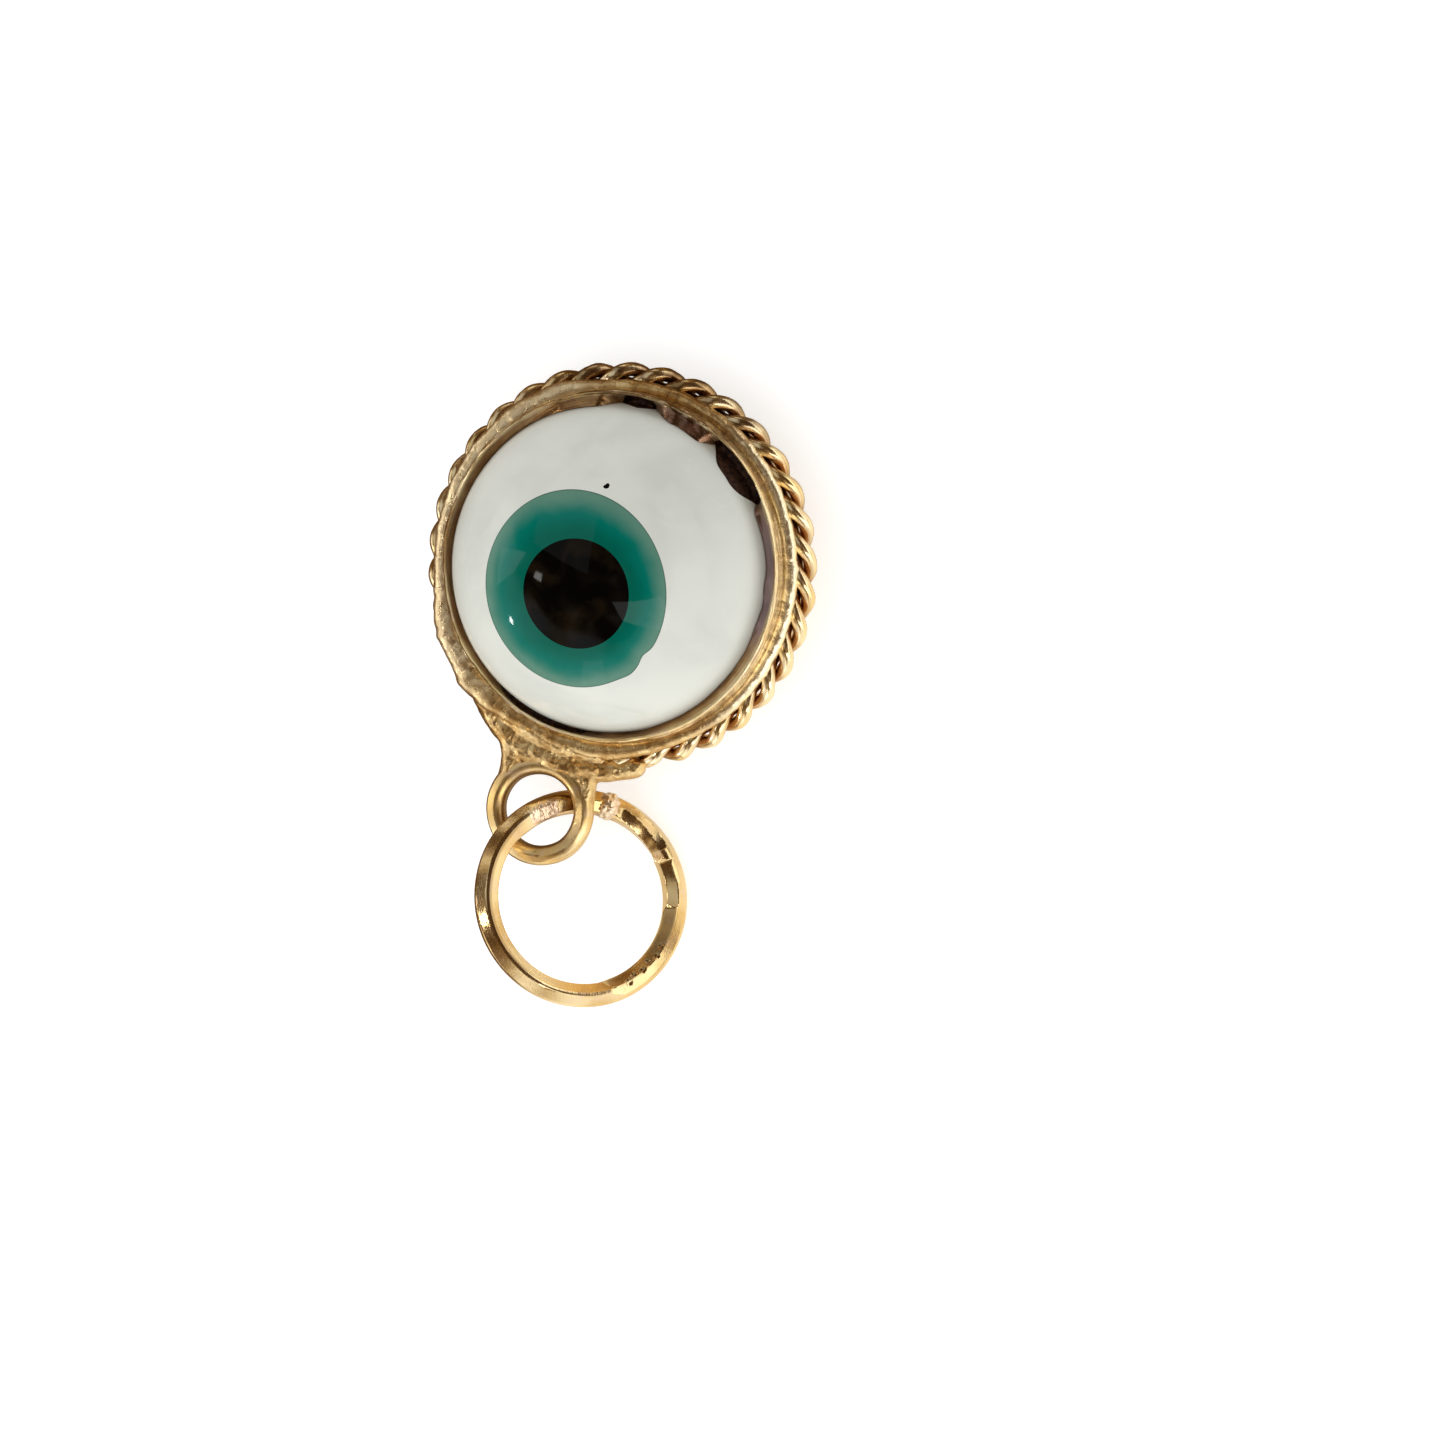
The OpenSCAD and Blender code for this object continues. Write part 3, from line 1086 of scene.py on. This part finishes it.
@dataclass
class RopeSolder:
    """The line of solder that joins the rope to the strip; it floods the rope near the loop."""

    middle_r: float = 5.24
    middle_z: float = 2.36
    wide: float = 0.22
    high: float = 0.20
    columns: int = 720
    sides: int = 20

    def build(self, finish: bpy.types.Material) -> None:
        """Makes the fillet."""

        def place(index: int, turn: float) -> Vector:
            """Round the run of solder, which is fuller on the left and floods the rope by the loop."""
            angle = math.degrees(turn)
            flood = window(angle, 212, 296, 16)
            left = window(angle, 122, 250, 8)
            wide = self.wide + 0.12 * left + 0.10 * flood + 0.03 * round_noise(angle, 34, 3.1)
            high = self.high + 0.03 * left + 0.05 * flood + 0.03 * round_noise(angle, 24, 5.2)
            psi = TURN * index / self.sides
            lump = 1 + 0.10 * round_noise(angle, 70, 2.5, index * 0.3)
            bulge = window(angle, 210, 246, 9) * (0.09 + 0.12 * round_noise(angle, 42, 6.6))
            r = self.middle_r + 0.06 * left + 0.14 * flood + bulge + wide * math.cos(psi) * lump
            z = self.middle_z + 0.02 * left + 0.02 * flood + high * math.sin(psi) * lump
            return ring_point(r, turn, z)

        work = Work("rope_solder").turned(self.sides, self.columns, place).tidy()
        piece = work.finished(Body.CHARM, Slot.SOLDER, finish)

        def painted_sheen(p: Vector) -> float:
            """Painted highlight: how much the solder is lightened, most at the eye's right where the light
            falls.
            """
            angle = round_axis(p)
            return max(window(angle, -35, 62, 16), 0.5 * window(angle, 118, 238, 14))

        paint(piece, "painted_sheen", painted_sheen)


# ---------------------------------------------------------------- round wire, filed and bent


@dataclass(frozen=True)
class Flat:
    """A flat filed along a stretch of round wire, counted in degrees round the ring and the wire."""

    start: float
    end: float
    faces: float
    faces_at_end: float
    depth: float
    soft: float = 8.0

    def cut(self, angle: float, psi: float) -> float:
        """How far out the flat lets the wire reach, as a share of its radius.

        Args:
            angle: the place round the ring.
            psi: the place round the wire, 0 outwards and 90 up.

        Returns:
            1 where the flat doesn't reach.
        """
        there = window(angle, self.start, self.end, self.soft)
        if there <= 0:
            return 1.0
        share = min(1.0, max(0.0, (apart(angle, self.start) % 360) / max(1.0, self.end - self.start)))
        turned = math.cos(math.radians(psi - blend(self.faces, self.faces_at_end, share)))
        steepest = 0.2
        if turned <= steepest:
            return 1.0
        return (1 - self.depth * there) / turned


@dataclass(frozen=True)
class Dent:
    """A small hollow punched into the wire."""

    angle: float
    psi: float
    length: float
    width: float
    depth: float

    def at(self, angle: float, psi: float) -> float:
        """Its depth at a place, as a share of the wire's radius."""
        x = apart(angle, self.angle) / self.length
        y = apart(psi, self.psi) / self.width
        return self.depth * math.exp(-(x * x + y * y) ** 2)


@dataclass(frozen=True)
class ShadeStretch:
    """A stretch of wire darkened as painted shade and painted dark reflection, counted in degrees round the
    ring and the wire.
    """

    start: float
    end: float
    low: float
    high: float
    shade: float
    soft: float = 9.0

    def at(self, angle: float, psi: float) -> float:
        """How dark it is at a place."""
        along = window(angle, self.start, self.end, self.soft)
        return self.shade * along * window(psi, self.low, self.high, self.soft)


@dataclass
class WireRing:
    """A ring of wire with its flats, its dents and its stretches of painted shade."""

    radius: float
    wire_r: float
    at: Matrix
    flats: list[Flat] = field(default_factory=list)
    dents: list[Dent] = field(default_factory=list)
    shade_stretches: list[ShadeStretch] = field(default_factory=list)
    sides: int = 56
    steps: int = 480
    waver: float = 0.012
    seed: float = 2.0

    def reach(self, angle: float, psi: float) -> float:
        """The wire's radius at a place round the ring and round the wire."""
        share = 1.0
        for flat in self.flats:
            share = min(share, flat.cut(angle, psi))
        for dent in self.dents:
            share -= dent.at(angle, psi)
        return self.wire_r * share

    def point(self, angle: float, psi: float, wire_r: float) -> Vector:
        """The place in metres, from degrees round the ring, degrees round the wire and a wire radius."""
        a = math.radians(angle)
        p = math.radians(psi)
        bend = self.waver * round_noise(angle, 5, self.seed)
        r = self.radius + bend + wire_r * math.cos(p)
        return (self.at @ Vector((r * math.cos(a), r * math.sin(a), wire_r * math.sin(p)))) * MM

    def build(
        self, name: str, body: Body, slot: Slot, finish: bpy.types.Material, node: str,
        crease: float = 16.0,
    ) -> None:
        """Makes the ring.

        Args:
            name: the piece's name.
            body: the body that it rides on.
            slot: the record's material slot.
            finish: its material.
            node: the CAD node that it stands for.
            crease: edges sharper than this many degrees stay sharp.
        """

        def place(index: int, turn: float) -> Vector:
            """Round the wire, as far out as its flats and dents let it reach."""
            angle = math.degrees(turn)
            psi = 360 * index / self.sides
            return self.point(angle, psi, self.reach(angle, psi))

        work = Work(name).turned(self.sides, self.steps, place).tidy()
        piece = work.finished(body, slot, finish, [node], crease=crease)
        back = self.at.inverted()

        def painted_shade(p: Vector) -> float:
            """1 where the wire is darkened as painted shade."""
            own = back @ (p / MM)
            angle = math.degrees(math.atan2(own.y, own.x))
            psi = math.degrees(math.atan2(own.z, math.hypot(own.x, own.y) - self.radius))
            return max((shade_stretches.at(angle, psi) for shade_stretches in self.shade_stretches), default=0.0)

        paint(piece, "painted_shade", painted_shade)


def melted(name: str, runs: Sequence[Sequence[tuple[float, float, float, float]]], grain: float) -> Work:
    """Runs of solder drops, melted into one smooth lump.

    Args:
        name: the piece's name.
        runs: each a list of (x, y, z, radius) in millimetres; drops fill the way between them.
        grain: the size of the lump's mesh, in millimetres.

    Returns:
        The work.
    """
    work = Work(name + "_drops")
    gap = 0.09
    for run in runs:
        for a, b in zip(run, run[1:]):
            count = max(1, math.ceil((Vector(a[:3]) - Vector(b[:3])).length / gap))
            for k in range(count + 1):
                x, y, z, r = (blend(m, n, k / count) for m, n in zip(a, b))
                spot = Matrix.Translation(Vector((x, y, z)) * MM)
                bmesh.ops.create_icosphere(work.bm, subdivisions=2, radius=r * MM, matrix=spot)
    mesh = bpy.data.meshes.new(name + "_drops")
    work.bm.to_mesh(mesh)
    work.bm.free()
    rough = bpy.data.objects.new(name + "_drops", mesh)
    bpy.context.scene.collection.objects.link(rough)
    remesh = rough.modifiers.new("melt", "REMESH")
    remesh.mode = "VOXEL"
    remesh.voxel_size = grain * MM
    lump = bpy.data.meshes.new_from_object(rough.evaluated_get(bpy.context.evaluated_depsgraph_get()))
    bpy.data.objects.remove(rough)
    made = Work(name)
    made.bm.from_mesh(lump)
    passes = 10
    for _ in range(passes):
        bmesh.ops.smooth_vert(
            made.bm, verts=made.bm.verts, factor=0.5, use_axis_x=True, use_axis_y=True, use_axis_z=True
        )
    return made


@dataclass(frozen=True)
class HangingLoop:
    """The soldered loop, and the solder that runs from it up over the rope."""

    radius: float = 1.35
    wire_r: float = 0.30
    grain: float = 0.04

    @staticmethod
    def place() -> Matrix:
        """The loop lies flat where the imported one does."""
        low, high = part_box("fixed_loop")
        return Matrix.Translation((low + high) / 2 / MM)

    def wire(self, finish: bpy.types.Material) -> None:
        """The loop itself: round wire with a few soft flats, with painted shade inside."""
        ring = WireRing(
            radius=self.radius, wire_r=self.wire_r, at=self.place(),
            seed=5.0, steps=300, sides=40, waver=0.015,
            # Painted shade on the inside of the loop.
            shade_stretches=[ShadeStretch(0, 359, 135, 225, 0.75)],
            flats=[
                Flat(150, 300, 62, 74, 0.07, 20),
                Flat(285, 400, 118, 96, 0.08, 18),
                Flat(200, 340, 10, 0, 0.05, 20),
            ],
        )
        ring.build("hanging_loop", Body.CHARM, Slot.GOLD_SATIN, finish, "fixed_loop")

    def solder(self, finish: bpy.types.Material) -> None:
        """The solder, grown from drops along the rope and down both shoulders of the loop."""
        along_rope = [
            (-2.75, -5.05, 2.02, 0.36), (-2.2, -5.42, 2.06, 0.44), (-1.55, -5.80, 2.08, 0.47),
            (-0.8, -6.02, 2.1, 0.46), (0.0, -6.08, 2.1, 0.44), (0.8, -5.98, 2.1, 0.42),
            (1.5, -5.78, 2.05, 0.40), (2.3, -5.42, 2.02, 0.34),
        ]
        left_shoulder = [
            (-1.5, -5.95, 2.08, 0.40), (-1.36, -6.35, 2.1, 0.32),
            (-1.28, -6.75, 2.13, 0.30), (-1.30, -7.1, 2.15, 0.26),
        ]
        right_shoulder = [
            (0.95, -6.0, 2.08, 0.38), (1.08, -6.35, 2.1, 0.33),
            (1.16, -6.7, 2.13, 0.30), (1.28, -7.0, 2.15, 0.26),
        ]
        left_web = [(-1.0, -6.1, 2.15, 0.36), (-0.9, -6.42, 2.15, 0.30)]
        right_web = [(0.6, -6.1, 2.15, 0.36), (0.8, -6.42, 2.15, 0.30)]
        over_rope = [
            (-2.2, -5.1, 2.3, 0.26), (-1.2, -5.45, 2.34, 0.27),
            (0.0, -5.6, 2.34, 0.27), (1.2, -5.42, 2.32, 0.26),
        ]
        runs = [along_rope, left_shoulder, right_shoulder, left_web, right_web, over_rope]

        def ripple(p: Vector) -> Vector:
            """Shifts a point by the solder's coarse, middling and fine lumps."""
            where = p / MM
            wave = noise.noise(where * 2.2) * 0.07
            wave += noise.noise(where * 5.5) * 0.04
            wave += noise.noise(where * 14.0) * 0.010
            return p + Vector((0.5 * wave, 0.5 * wave, wave)) * MM

        work = melted("loop_fillet", runs, self.grain).each(ripple).tidy()
        work.finished(Body.CHARM, Slot.SOLDER, finish, ["loop_solder"], crease=60)

    def build(self, gold: bpy.types.Material, solder: bpy.types.Material) -> None:
        """Makes the loop and its solder."""
        self.wire(gold)
        self.solder(solder)


@dataclass(frozen=True)
class JumpRing:
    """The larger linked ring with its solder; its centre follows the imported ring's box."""

    radius: float = 2.85
    wire_r: float = 0.36
    normal: tuple[float, float, float] = (0.4408, 0.3693, 0.8182)
    seam_half: float = 9.5
    seam_sides: int = 24
    seam_lift: float = 0.05
    lump_angle: float = -42.0
    lump_r: float = 0.40

    def place(self) -> Matrix:
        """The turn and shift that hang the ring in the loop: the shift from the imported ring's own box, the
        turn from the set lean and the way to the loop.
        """
        low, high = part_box("jump_ring")
        centre = (low + high) / 2 / MM
        normal = Vector(self.normal).normalized()
        loop_low, loop_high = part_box("fixed_loop")
        loop = (loop_low + loop_high) / 2 / MM
        towards = loop - centre
        x = (towards - normal * towards.dot(normal)).normalized()
        y = normal.cross(x)
        turn = Matrix((x, y, normal)).transposed().to_4x4()
        return Matrix.Translation(centre) @ turn

    def wire(self, finish: bpy.types.Material) -> WireRing:
        """The ring itself: wire filed to flats that turn round it, with dents at one side.

        Args:
            finish: its material.

        Returns:
            The ring's shape, for its solder to lie on.
        """
        ring = WireRing(
            radius=self.radius, wire_r=self.wire_r, at=self.place(), seed=2.0, steps=720, sides=72,
            # Painted dark reflections: stretches of the ring's facets darkened where they face the dark room.
            shade_stretches=[
                ShadeStretch(172, 238, 98, 165, 0.62), ShadeStretch(18, 120, 84, 104, 0.55), ShadeStretch(272, 318, 60, 120, 0.35),
            ],
            flats=[
                Flat(8, 175, 40, 52, 0.12, 6),
                Flat(0, 178, 122, 128, 0.16, 6),
                Flat(20, 170, 176, 178, 0.10, 6),
                Flat(168, 242, 138, 132, 0.20, 4),
                Flat(172, 250, 78, 64, 0.10, 6),
                Flat(240, 270, 118, 128, 0.17, 2),
                Flat(239, 271, 170, 168, 0.14, 3),
                Flat(240, 300, 52, 30, 0.12, 6),
                Flat(269, 312, 150, 92, 0.18, 3),
                Flat(276, 330, 96, 48, 0.15, 4),
                Flat(272, 340, 196, 160, 0.14, 5),
                Flat(320, 366, 120, 100, 0.12, 6),
            ],
            dents=[
                Dent(183, 96, 2.0, 16, 0.12), Dent(188, 118, 1.6, 12, 0.10), Dent(194, 104, 2.2, 13, 0.10),
                Dent(201, 122, 1.5, 14, 0.12), Dent(207, 100, 1.8, 12, 0.10), Dent(214, 114, 1.6, 11, 0.08),
            ],
        )
        ring.build("hanging_ring", Body.RING, Slot.GOLD_RING, finish, "jump_ring")
        return ring

    def seam(self, ring: WireRing, finish: bpy.types.Material) -> None:
        """The crumpled solder seam inside the loop."""
        sides = self.seam_sides

        def place(index: int, turn: float) -> Vector:
            """Over the seam's crumpled face and back inside the wire."""
            away = (turn / TURN - 0.5) * 2
            angle = away * self.seam_half
            across = min(index, sides - index) / (sides / 2)
            psi = 62 + 96 * across
            taper = math.sqrt(max(0.0, 1 - away * away))
            rough = 0.5 + 0.9 * noise.noise(Vector((angle * 0.55, psi * 0.045, 1.7)))
            rough += 0.4 * noise.noise(Vector((angle * 1.6, psi * 0.12, 4.2)))
            edge = smooth(0, 0.25, across) * (1 - smooth(0.75, 1.0, across))
            lift = self.seam_lift * taper * edge * rough if index < sides / 2 else -0.03
            return ring.point(angle, psi, ring.reach(angle, psi) + lift)

        work = Work("ring_seam").turned(sides, 90, place).tidy()
        work.finished(Body.RING, Slot.SOLDER_ROSE, finish, ["ring_solder"], crease=30)

    def lump(self, ring: WireRing, finish: bpy.types.Material) -> None:
        """The rosy lump of solder beside the seam."""
        centre = ring.point(self.lump_angle, 90, 0.06)

        def swell(p: Vector) -> Vector:
            """Sets a point of a ball out to the lump's uneven skin."""
            way = p.normalized()
            uneven = 0.16 * noise.noise(way * 2.1 + Vector((3, 1, 2))) + 0.07 * noise.noise(way * 6.0)
            return centre + way * self.lump_r * (1 + uneven) * MM

        work = Work("ring_lump")
        bmesh.ops.create_icosphere(work.bm, subdivisions=5, radius=1.0)
        work.each(swell).tidy().finished(Body.RING, Slot.SOLDER_ROSE, finish, crease=50)

    def build(self, gold: bpy.types.Material, rose: bpy.types.Material) -> None:
        """Makes the ring and its solder."""
        ring = self.wire(gold)
        self.seam(ring, rose)
        self.lump(ring, rose)


# ---------------------------------------------------------------- stage


@dataclass(frozen=True)
class Card:
    """A glowing card that only shows in reflections, set out by the directions of its four corners."""

    name: str
    corners: tuple[tuple[float, float, float], ...]
    brightness: float
    distance: float = 0.6
    tint: Colour = (1.0, 0.99, 0.96)

    def build(self) -> None:
        """Hangs the card."""
        mesh = bpy.data.meshes.new(self.name)
        bm = bmesh.new()
        bmesh.ops.create_grid(bm, x_segments=1, y_segments=1, size=1.0)
        for vert, corner in zip(bm.verts, self.corners):
            vert.co = Vector(corner).normalized() * self.distance
        bm.to_mesh(mesh)
        bm.free()
        card = bpy.data.objects.new(self.name, mesh)
        bpy.context.scene.collection.objects.link(card)
        card.visible_camera = False
        card.visible_diffuse = False
        card.visible_shadow = False
        shader = Shader(self.name)
        glow = shader.glow(self.tint, self.brightness)
        shader.feed(shader.tree.get_output_node("ALL").inputs[0], glow)
        mesh.materials.append(shader.material)


@dataclass(frozen=True)
class Studio:
    """The white sheet, the room's light and the camera.

    Angles are in degrees and lengths in millimetres, apart from the sheet's half width in metres.
    """

    lean: float = 17.54
    heading: float = 33.32
    roll: float = -18.93
    distance: float = 220.0
    pivot: tuple[float, float, float] = (0.0, -3.3, 2.0)
    aside: float = 3.9615
    above: float = -1.474
    field: float = 10.952
    sheet_size: float = 3.0
    sheet_glow: float = 0.52
    sheet_dark: Colour = (0.15, 0.075, 0.018)
    sheet_pale: Colour = (1.2, 1.12, 0.98)
    room_tones: tuple[tuple[float, Colour], ...] = (
        (0.0, (0.07, 0.032, 0.005)), (0.30, (0.13, 0.062, 0.012)), (0.45, (0.42, 0.29, 0.15)),
        (0.60, (0.78, 0.69, 0.53)), (0.80, (1.05, 1.04, 1.05)), (1.0, (1.2, 1.2, 1.25)),
    )

    def camera(self) -> None:
        """Sets the camera up: it looks at the pivot, leaning off the eye's axis, and a little aside."""
        lean, heading, roll = (math.radians(x) for x in (self.lean, self.heading, self.roll))
        flat = Vector((math.cos(heading), math.sin(heading), 0))
        back = flat * math.sin(lean) + UP * math.cos(lean)
        right = Vector((math.sin(roll), math.cos(roll), 0)).cross(back).normalized()
        up = back.cross(right)
        where = Vector(self.pivot) + back * self.distance + right * self.aside + up * self.above
        lens = bpy.data.cameras.new("camera")
        lens.sensor_width = 36.0
        lens.lens = lens.sensor_width / 2 / math.tan(math.radians(self.field) / 2)
        lens.clip_start = 0.01
        lens.clip_end = 10.0
        camera = bpy.data.objects.new("camera", lens)
        turn = Matrix((right, up, back)).transposed().to_4x4()
        camera.matrix_world = Matrix.Translation(where * MM) @ turn
        bpy.context.scene.collection.objects.link(camera)
        bpy.context.scene.camera = camera

    def floor(self) -> None:
        """A plain white sheet under the charm, which the gold sees as a band from dark to pale."""
        mesh = bpy.data.meshes.new("floor")
        bm = bmesh.new()
        bmesh.ops.create_grid(bm, x_segments=1, y_segments=1, size=self.sheet_size)
        bm.to_mesh(mesh)
        bm.free()
        sheet = bpy.data.objects.new("floor", mesh)
        bpy.context.scene.collection.objects.link(sheet)
        shader = Shader("white_sheet")
        shader.put("Base Color", (0.90, 0.90, 0.90))
        shader.put("Roughness", 0.9)
        shader.put("Specular IOR Level", 0.1)
        shader.put("Emission Color", (1.0, 1.0, 1.0))
        shader.put("Emission Strength", self.sheet_glow)
        where = shader.own_mm()
        side = Value(shader, shader.vectors("DOT_PRODUCT", where, (0.945, -0.18, 0.0)).outputs["Value"])
        across = side + (shader.noise(where, 0.12, 2.0) - 0.5) * 8.0
        tone = shader.mix(across.step(-2.0, 8.0), self.sheet_dark, self.sheet_pale)
        seen = shader.swap("Is Glossy Ray", shader.surface.outputs[0], shader.glow(tone, 1.0))
        shader.feed(shader.tree.get_output_node("ALL").inputs[0], seen)
        mesh.materials.append(shader.material)

    def world(self) -> None:
        """A soft room, lit from below left: the camera sees plain white and the gold sees patchy walls."""
        world = bpy.data.worlds.new("room")
        world.use_nodes = True
        tree = world.node_tree
        tree.nodes.clear()
        nodes = Shader.within(tree)
        where = nodes.node("ShaderNodeTexCoord").outputs["Generated"]

        def along(way: tuple[float, float, float]) -> Value:
            """How far a direction points along a way, from -1 to 1."""
            made = nodes.vectors("DOT_PRODUCT", where, Vector(way).normalized())
            return Value(nodes, made.outputs["Value"])

        lit = along((-0.36, -0.82, 0.40)) * 0.44 + along((0.95, -0.20, 0.20)) * 0.11 + 0.66
        soft = nodes.glow((1.0, 1.0, 0.985), lit, "ShaderNodeBackground")
        cloud = nodes.noise(where, 2.6, 1.5)
        overhead = along((-0.08, 0.10, 1.0)).step(0.35, 0.88)
        level = (cloud - 0.5) * 2.4 + along((0.20, -0.85, 0.2)) * 0.24 + overhead * -0.62 + 0.62
        tones = nodes.node("ShaderNodeValToRGB", {"stops": self.room_tones}, {0: level.clamped()})
        sharp = nodes.glow(tones.outputs[0], 1.0, "ShaderNodeBackground")
        plain = nodes.glow((1.0, 1.0, 1.0), 1.0, "ShaderNodeBackground")
        room = nodes.swap("Is Glossy Ray", soft, sharp)
        nodes.node("ShaderNodeOutputWorld", {}, {0: nodes.swap("Is Camera Ray", room, plain)})
        bpy.context.scene.world = world

    @staticmethod
    def cards() -> list[Card]:
        """The lights that show in the glass and on the gold."""
        window_at = ((-0.05, -0.07, 1.0), (-0.21, 0.70, 0.68), (-0.74, 0.02, 0.68), (-0.80, 0.70, 0.35))
        wall_at = ((0.897, -0.419, 0.14), (0.256, 0.956, 0.14), (0.80, -0.38, 0.44), (0.25, 0.87, 0.44))
        left_at = ((-0.85, -0.46, 0.25), (-0.78, -0.31, 0.50), (-0.92, -0.15, 0.30), (-0.76, -0.10, 0.64))
        right_at = ((0.30, -0.28, 0.91), (0.76, -0.06, 0.66), (0.437, -0.44, 0.785), (0.90, -0.40, 0.35))
        bottom_at = ((0.07, -0.90, 0.43), (0.26, -0.86, 0.45), (0.01, -1.0, 0.06), (0.24, -0.97, 0.15))
        lamp_at = (
            (-0.635, -0.735, 0.262), (-0.672, -0.695, 0.252),
            (-0.650, -0.695, 0.302), (-0.680, -0.665, 0.285),
        )
        blob_at = ((-0.615, -0.30, 0.72), (-0.53, -0.32, 0.78), (-0.62, -0.24, 0.76), (-0.55, -0.24, 0.80))
        return [
            Card("window", window_at, 0.55), Card("wall", wall_at, 1.6), Card("left", left_at, 2.4),
            Card("right", right_at, 2.8), Card("bottom", bottom_at, 2.4), Card("lamp", lamp_at, 60.0),
            Card("blob", blob_at, 15.0),
        ]

    def build(self) -> None:
        """Sets the whole stage."""
        self.camera()
        self.floor()
        self.world()
        for card in self.cards():
            card.build()
        view = bpy.context.scene.view_settings
        view.view_transform = "Standard"
        view.look = "None"


# ---------------------------------------------------------------- the whole


@dataclass(frozen=True)
class Finishes:
    """Every material, made once."""

    satin: bpy.types.Material
    burnished: bpy.types.Material
    rope: bpy.types.Material
    ring: bpy.types.Material
    solder: bpy.types.Material
    rose: bpy.types.Material
    cement: bpy.types.Material
    white: bpy.types.Material
    teal: bpy.types.Material
    black: bpy.types.Material

    @staticmethod
    def make() -> "Finishes":
        """Builds them all."""
        return Finishes(
            satin=Gold(
                "satin_gold", bright=(0.88, 0.67, 0.35), warm=(0.72, 0.49, 0.19), roughness=0.30,
            ).material(),
            burnished=Gold(
                "burnished_gold", roughness=0.22, rose_share=0.8, painted_hollow_shade=0.8, streaks=0.75,
            ).material(),
            rope=Gold("rope_gold", roughness=0.20, painted_hollow_shade=0.9, hammer=0.006).material(),
            ring=Gold(
                "ring_gold", bright=(0.90, 0.70, 0.38), warm=(0.74, 0.50, 0.20), roughness=0.17, hammer=0.006,
            ).material(),
            solder=Solder("solder_gold").material(),
            rose=Solder("rose_solder", pale=(0.98, 0.84, 0.62), rose=(0.90, 0.66, 0.46)).material(),
            cement=Cement("brown_cement").material(),
            white=OpalGlass("opal_white_glass").material(),
            teal=TealGlass("teal_iris_glass").material(),
            black=BlackGlass("black_pupil_glass").material(),
        )


def dress(node: str, finish: bpy.types.Material) -> None:
    """Gives a CAD node that stays its material."""
    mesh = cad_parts[node].data
    mesh.materials.clear()
    mesh.materials.append(finish)


def main() -> None:
    """Builds the charm from the back plate to the jump ring."""
    logging.basicConfig(level=logging.INFO, format="%(message)s")
    finishes = Finishes.make()
    Studio().build()
    dress("back_plate", finishes.satin)
    dress("bearing_ledge", finishes.satin)
    dress("setting_cement", finishes.cement)
    eye = GlassEye.from_frame()
    eye.build(finishes.white, finishes.teal, finishes.black)
    bezel = Bezel.from_frame(eye)
    bezel.wall(finishes.burnished)
    bezel.cement_and_gap_shadow(finishes.cement)
    Rope().build(finishes.rope)
    RopeSolder().build(finishes.solder)
    HangingLoop().build(finishes.satin, finishes.solder)
    JumpRing().build(finishes.ring, finishes.rose)


if __name__ == "__main__":
    main()
